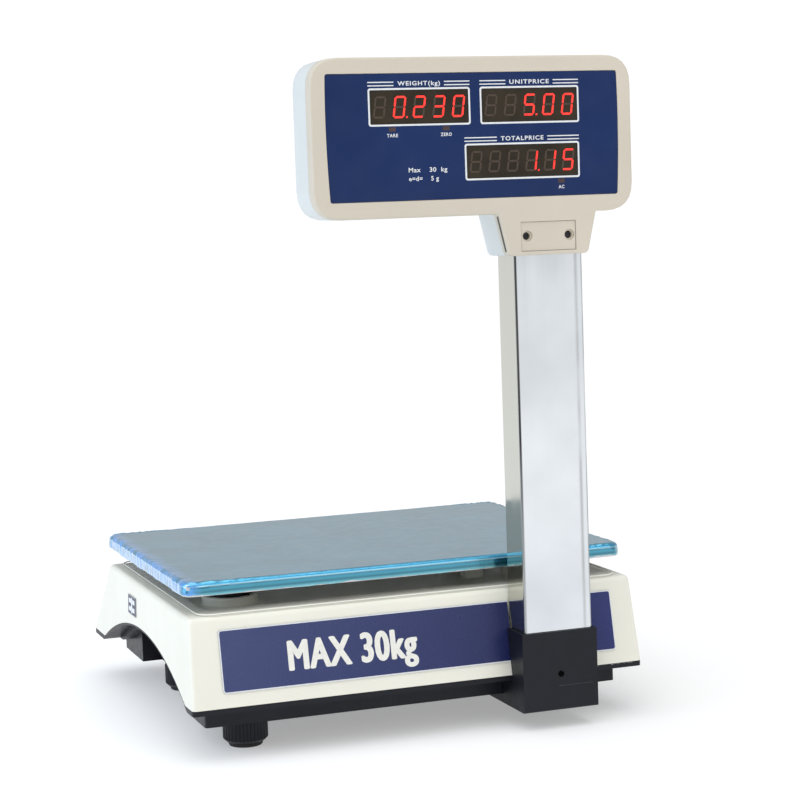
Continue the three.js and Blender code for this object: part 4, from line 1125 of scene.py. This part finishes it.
def wrinkle(place, reach):
    """How far the film stands off, from slow puckers and fine creases; reach is 1 where it is bunched."""
    slow = noise.noise(place * PUCKER_SCALE) * 0.5
    across = Vector((place.x * CREASE_SCALE, place.y * CREASE_SCALE, place.z * PUCKER_SCALE))
    creases = 1 - abs(noise.noise(across)) * 2.4
    return max(0.0, 0.25 + slow + max(0.0, creases) * 0.8) * reach


def film_rows(half, height):
    """Rings of the film from the middle of the pan outwards: place, outward direction, normal and drop."""
    roll = FILM["roll"]
    rows = []
    for inset in FILM["insets"]:
        corner = max(FILM["corner"] - roll - inset, FILM["least_corner"])
        edge = around(half.x - roll - inset, half.y - roll - inset, corner)
        rows.append([(p, out, Vector((0, 0, 1)), 0.0) for p, out in edge])
    edge = around(half.x, half.y, FILM["corner"])
    for step in range(FILM["roll_steps"] + 1):
        angle = math.radians(90 * step / FILM["roll_steps"])
        turned, level = math.sin(angle), math.cos(angle)
        rows.append([(p - out * roll * (1 - turned), out, Vector((out.x * turned, out.y * turned, level)),
                      roll * (1 - level)) for p, out in edge])
    for share in FILM["skirt"]:
        rows.append([(p, out, Vector((out.x, out.y, 0)), roll + (height - roll) * share) for p, out in edge])
    return rows


def film_tear(p, cornered, rows_left):
    """How far the torn lower edge rises at a place, fading over the last rings."""
    slow = noise.noise(Vector((p.x * TEAR_SCALE, p.y * TEAR_SCALE, 3.1)))
    fine = noise.noise(Vector((p.x * FRINGE_SCALE, p.y * FRINGE_SCALE, 7.7)))
    fading = max(0.0, (FILM["torn_rings"] - rows_left) / FILM["torn_rings"])
    return FILM["torn"] * max(0.0, 0.35 + (slow + 0.5 * fine) + 0.5 * cornered) * fading


def add_pan_film():
    """Film over the pan: smooth on top, puckered where it turns down, its lower edge torn."""
    low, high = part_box("pan")
    middle, half = (low + high) / 2, (high - low) / 2
    rows = film_rows(half, high.z - low.z)
    flat_rows = len(FILM["insets"])
    shape = bmesh.new()
    made = []
    for number, row in enumerate(rows):
        made.append([])
        for p, out, normal, drop in row:
            place = Vector((middle.x + p.x, middle.y + p.y, high.z - drop))
            cornered = min(1.0, max(0.0, (abs(p.x) / half.x + abs(p.y) / half.y - 1.55) / 0.4))
            on_left = 1.0 if p.x < -half.x + FILM["left"] else 0.0
            bunched = min(1.0, 0.12 + 0.7 * cornered + 0.45 * on_left)
            reach = 3 + 3 * on_left
            fade = min(1.0, max(0.0, (number - flat_rows + reach) / reach))
            stand_off = FILM["lift"] + min(FILM["most"], FILM["pucker"] * wrinkle(place, bunched * fade))
            place += normal * stand_off + Vector((0, 0, film_tear(p, cornered, len(rows) - 1 - number)))
            made[-1].append(shape.verts.new(place))
    count = len(made[0])
    for a, b in zip(made, made[1:]):
        for i in range(count):
            j = (i + 1) % count
            shape.faces.new((a[i], b[i], b[j], a[j]))
    shape.faces.new(made[0])
    bmesh.ops.recalc_face_normals(shape, faces=shape.faces)
    mesh = mesh_from("pan_film", shape)
    for polygon in mesh.polygons:
        polygon.use_smooth = True
    piece = add_piece("pan_film", mesh, PAN_FILM, "lift_off_pan")
    sheet = piece.modifiers.new("thickness", "SOLIDIFY")
    sheet.thickness = FILM["thick"]
    sheet.offset = 1


# -------- build

bpy.context.scene.view_settings.view_transform = "Standard"
add_camera()
add_world()
add_lights()
add_floor()
paint_cad_nodes()
add_customer_side()
add_neck_lines()
add_front_label()
add_side_label()
add_recess_bead()
add_ridge_highlight_and_chips()
add_operator_side()
add_pan_film()
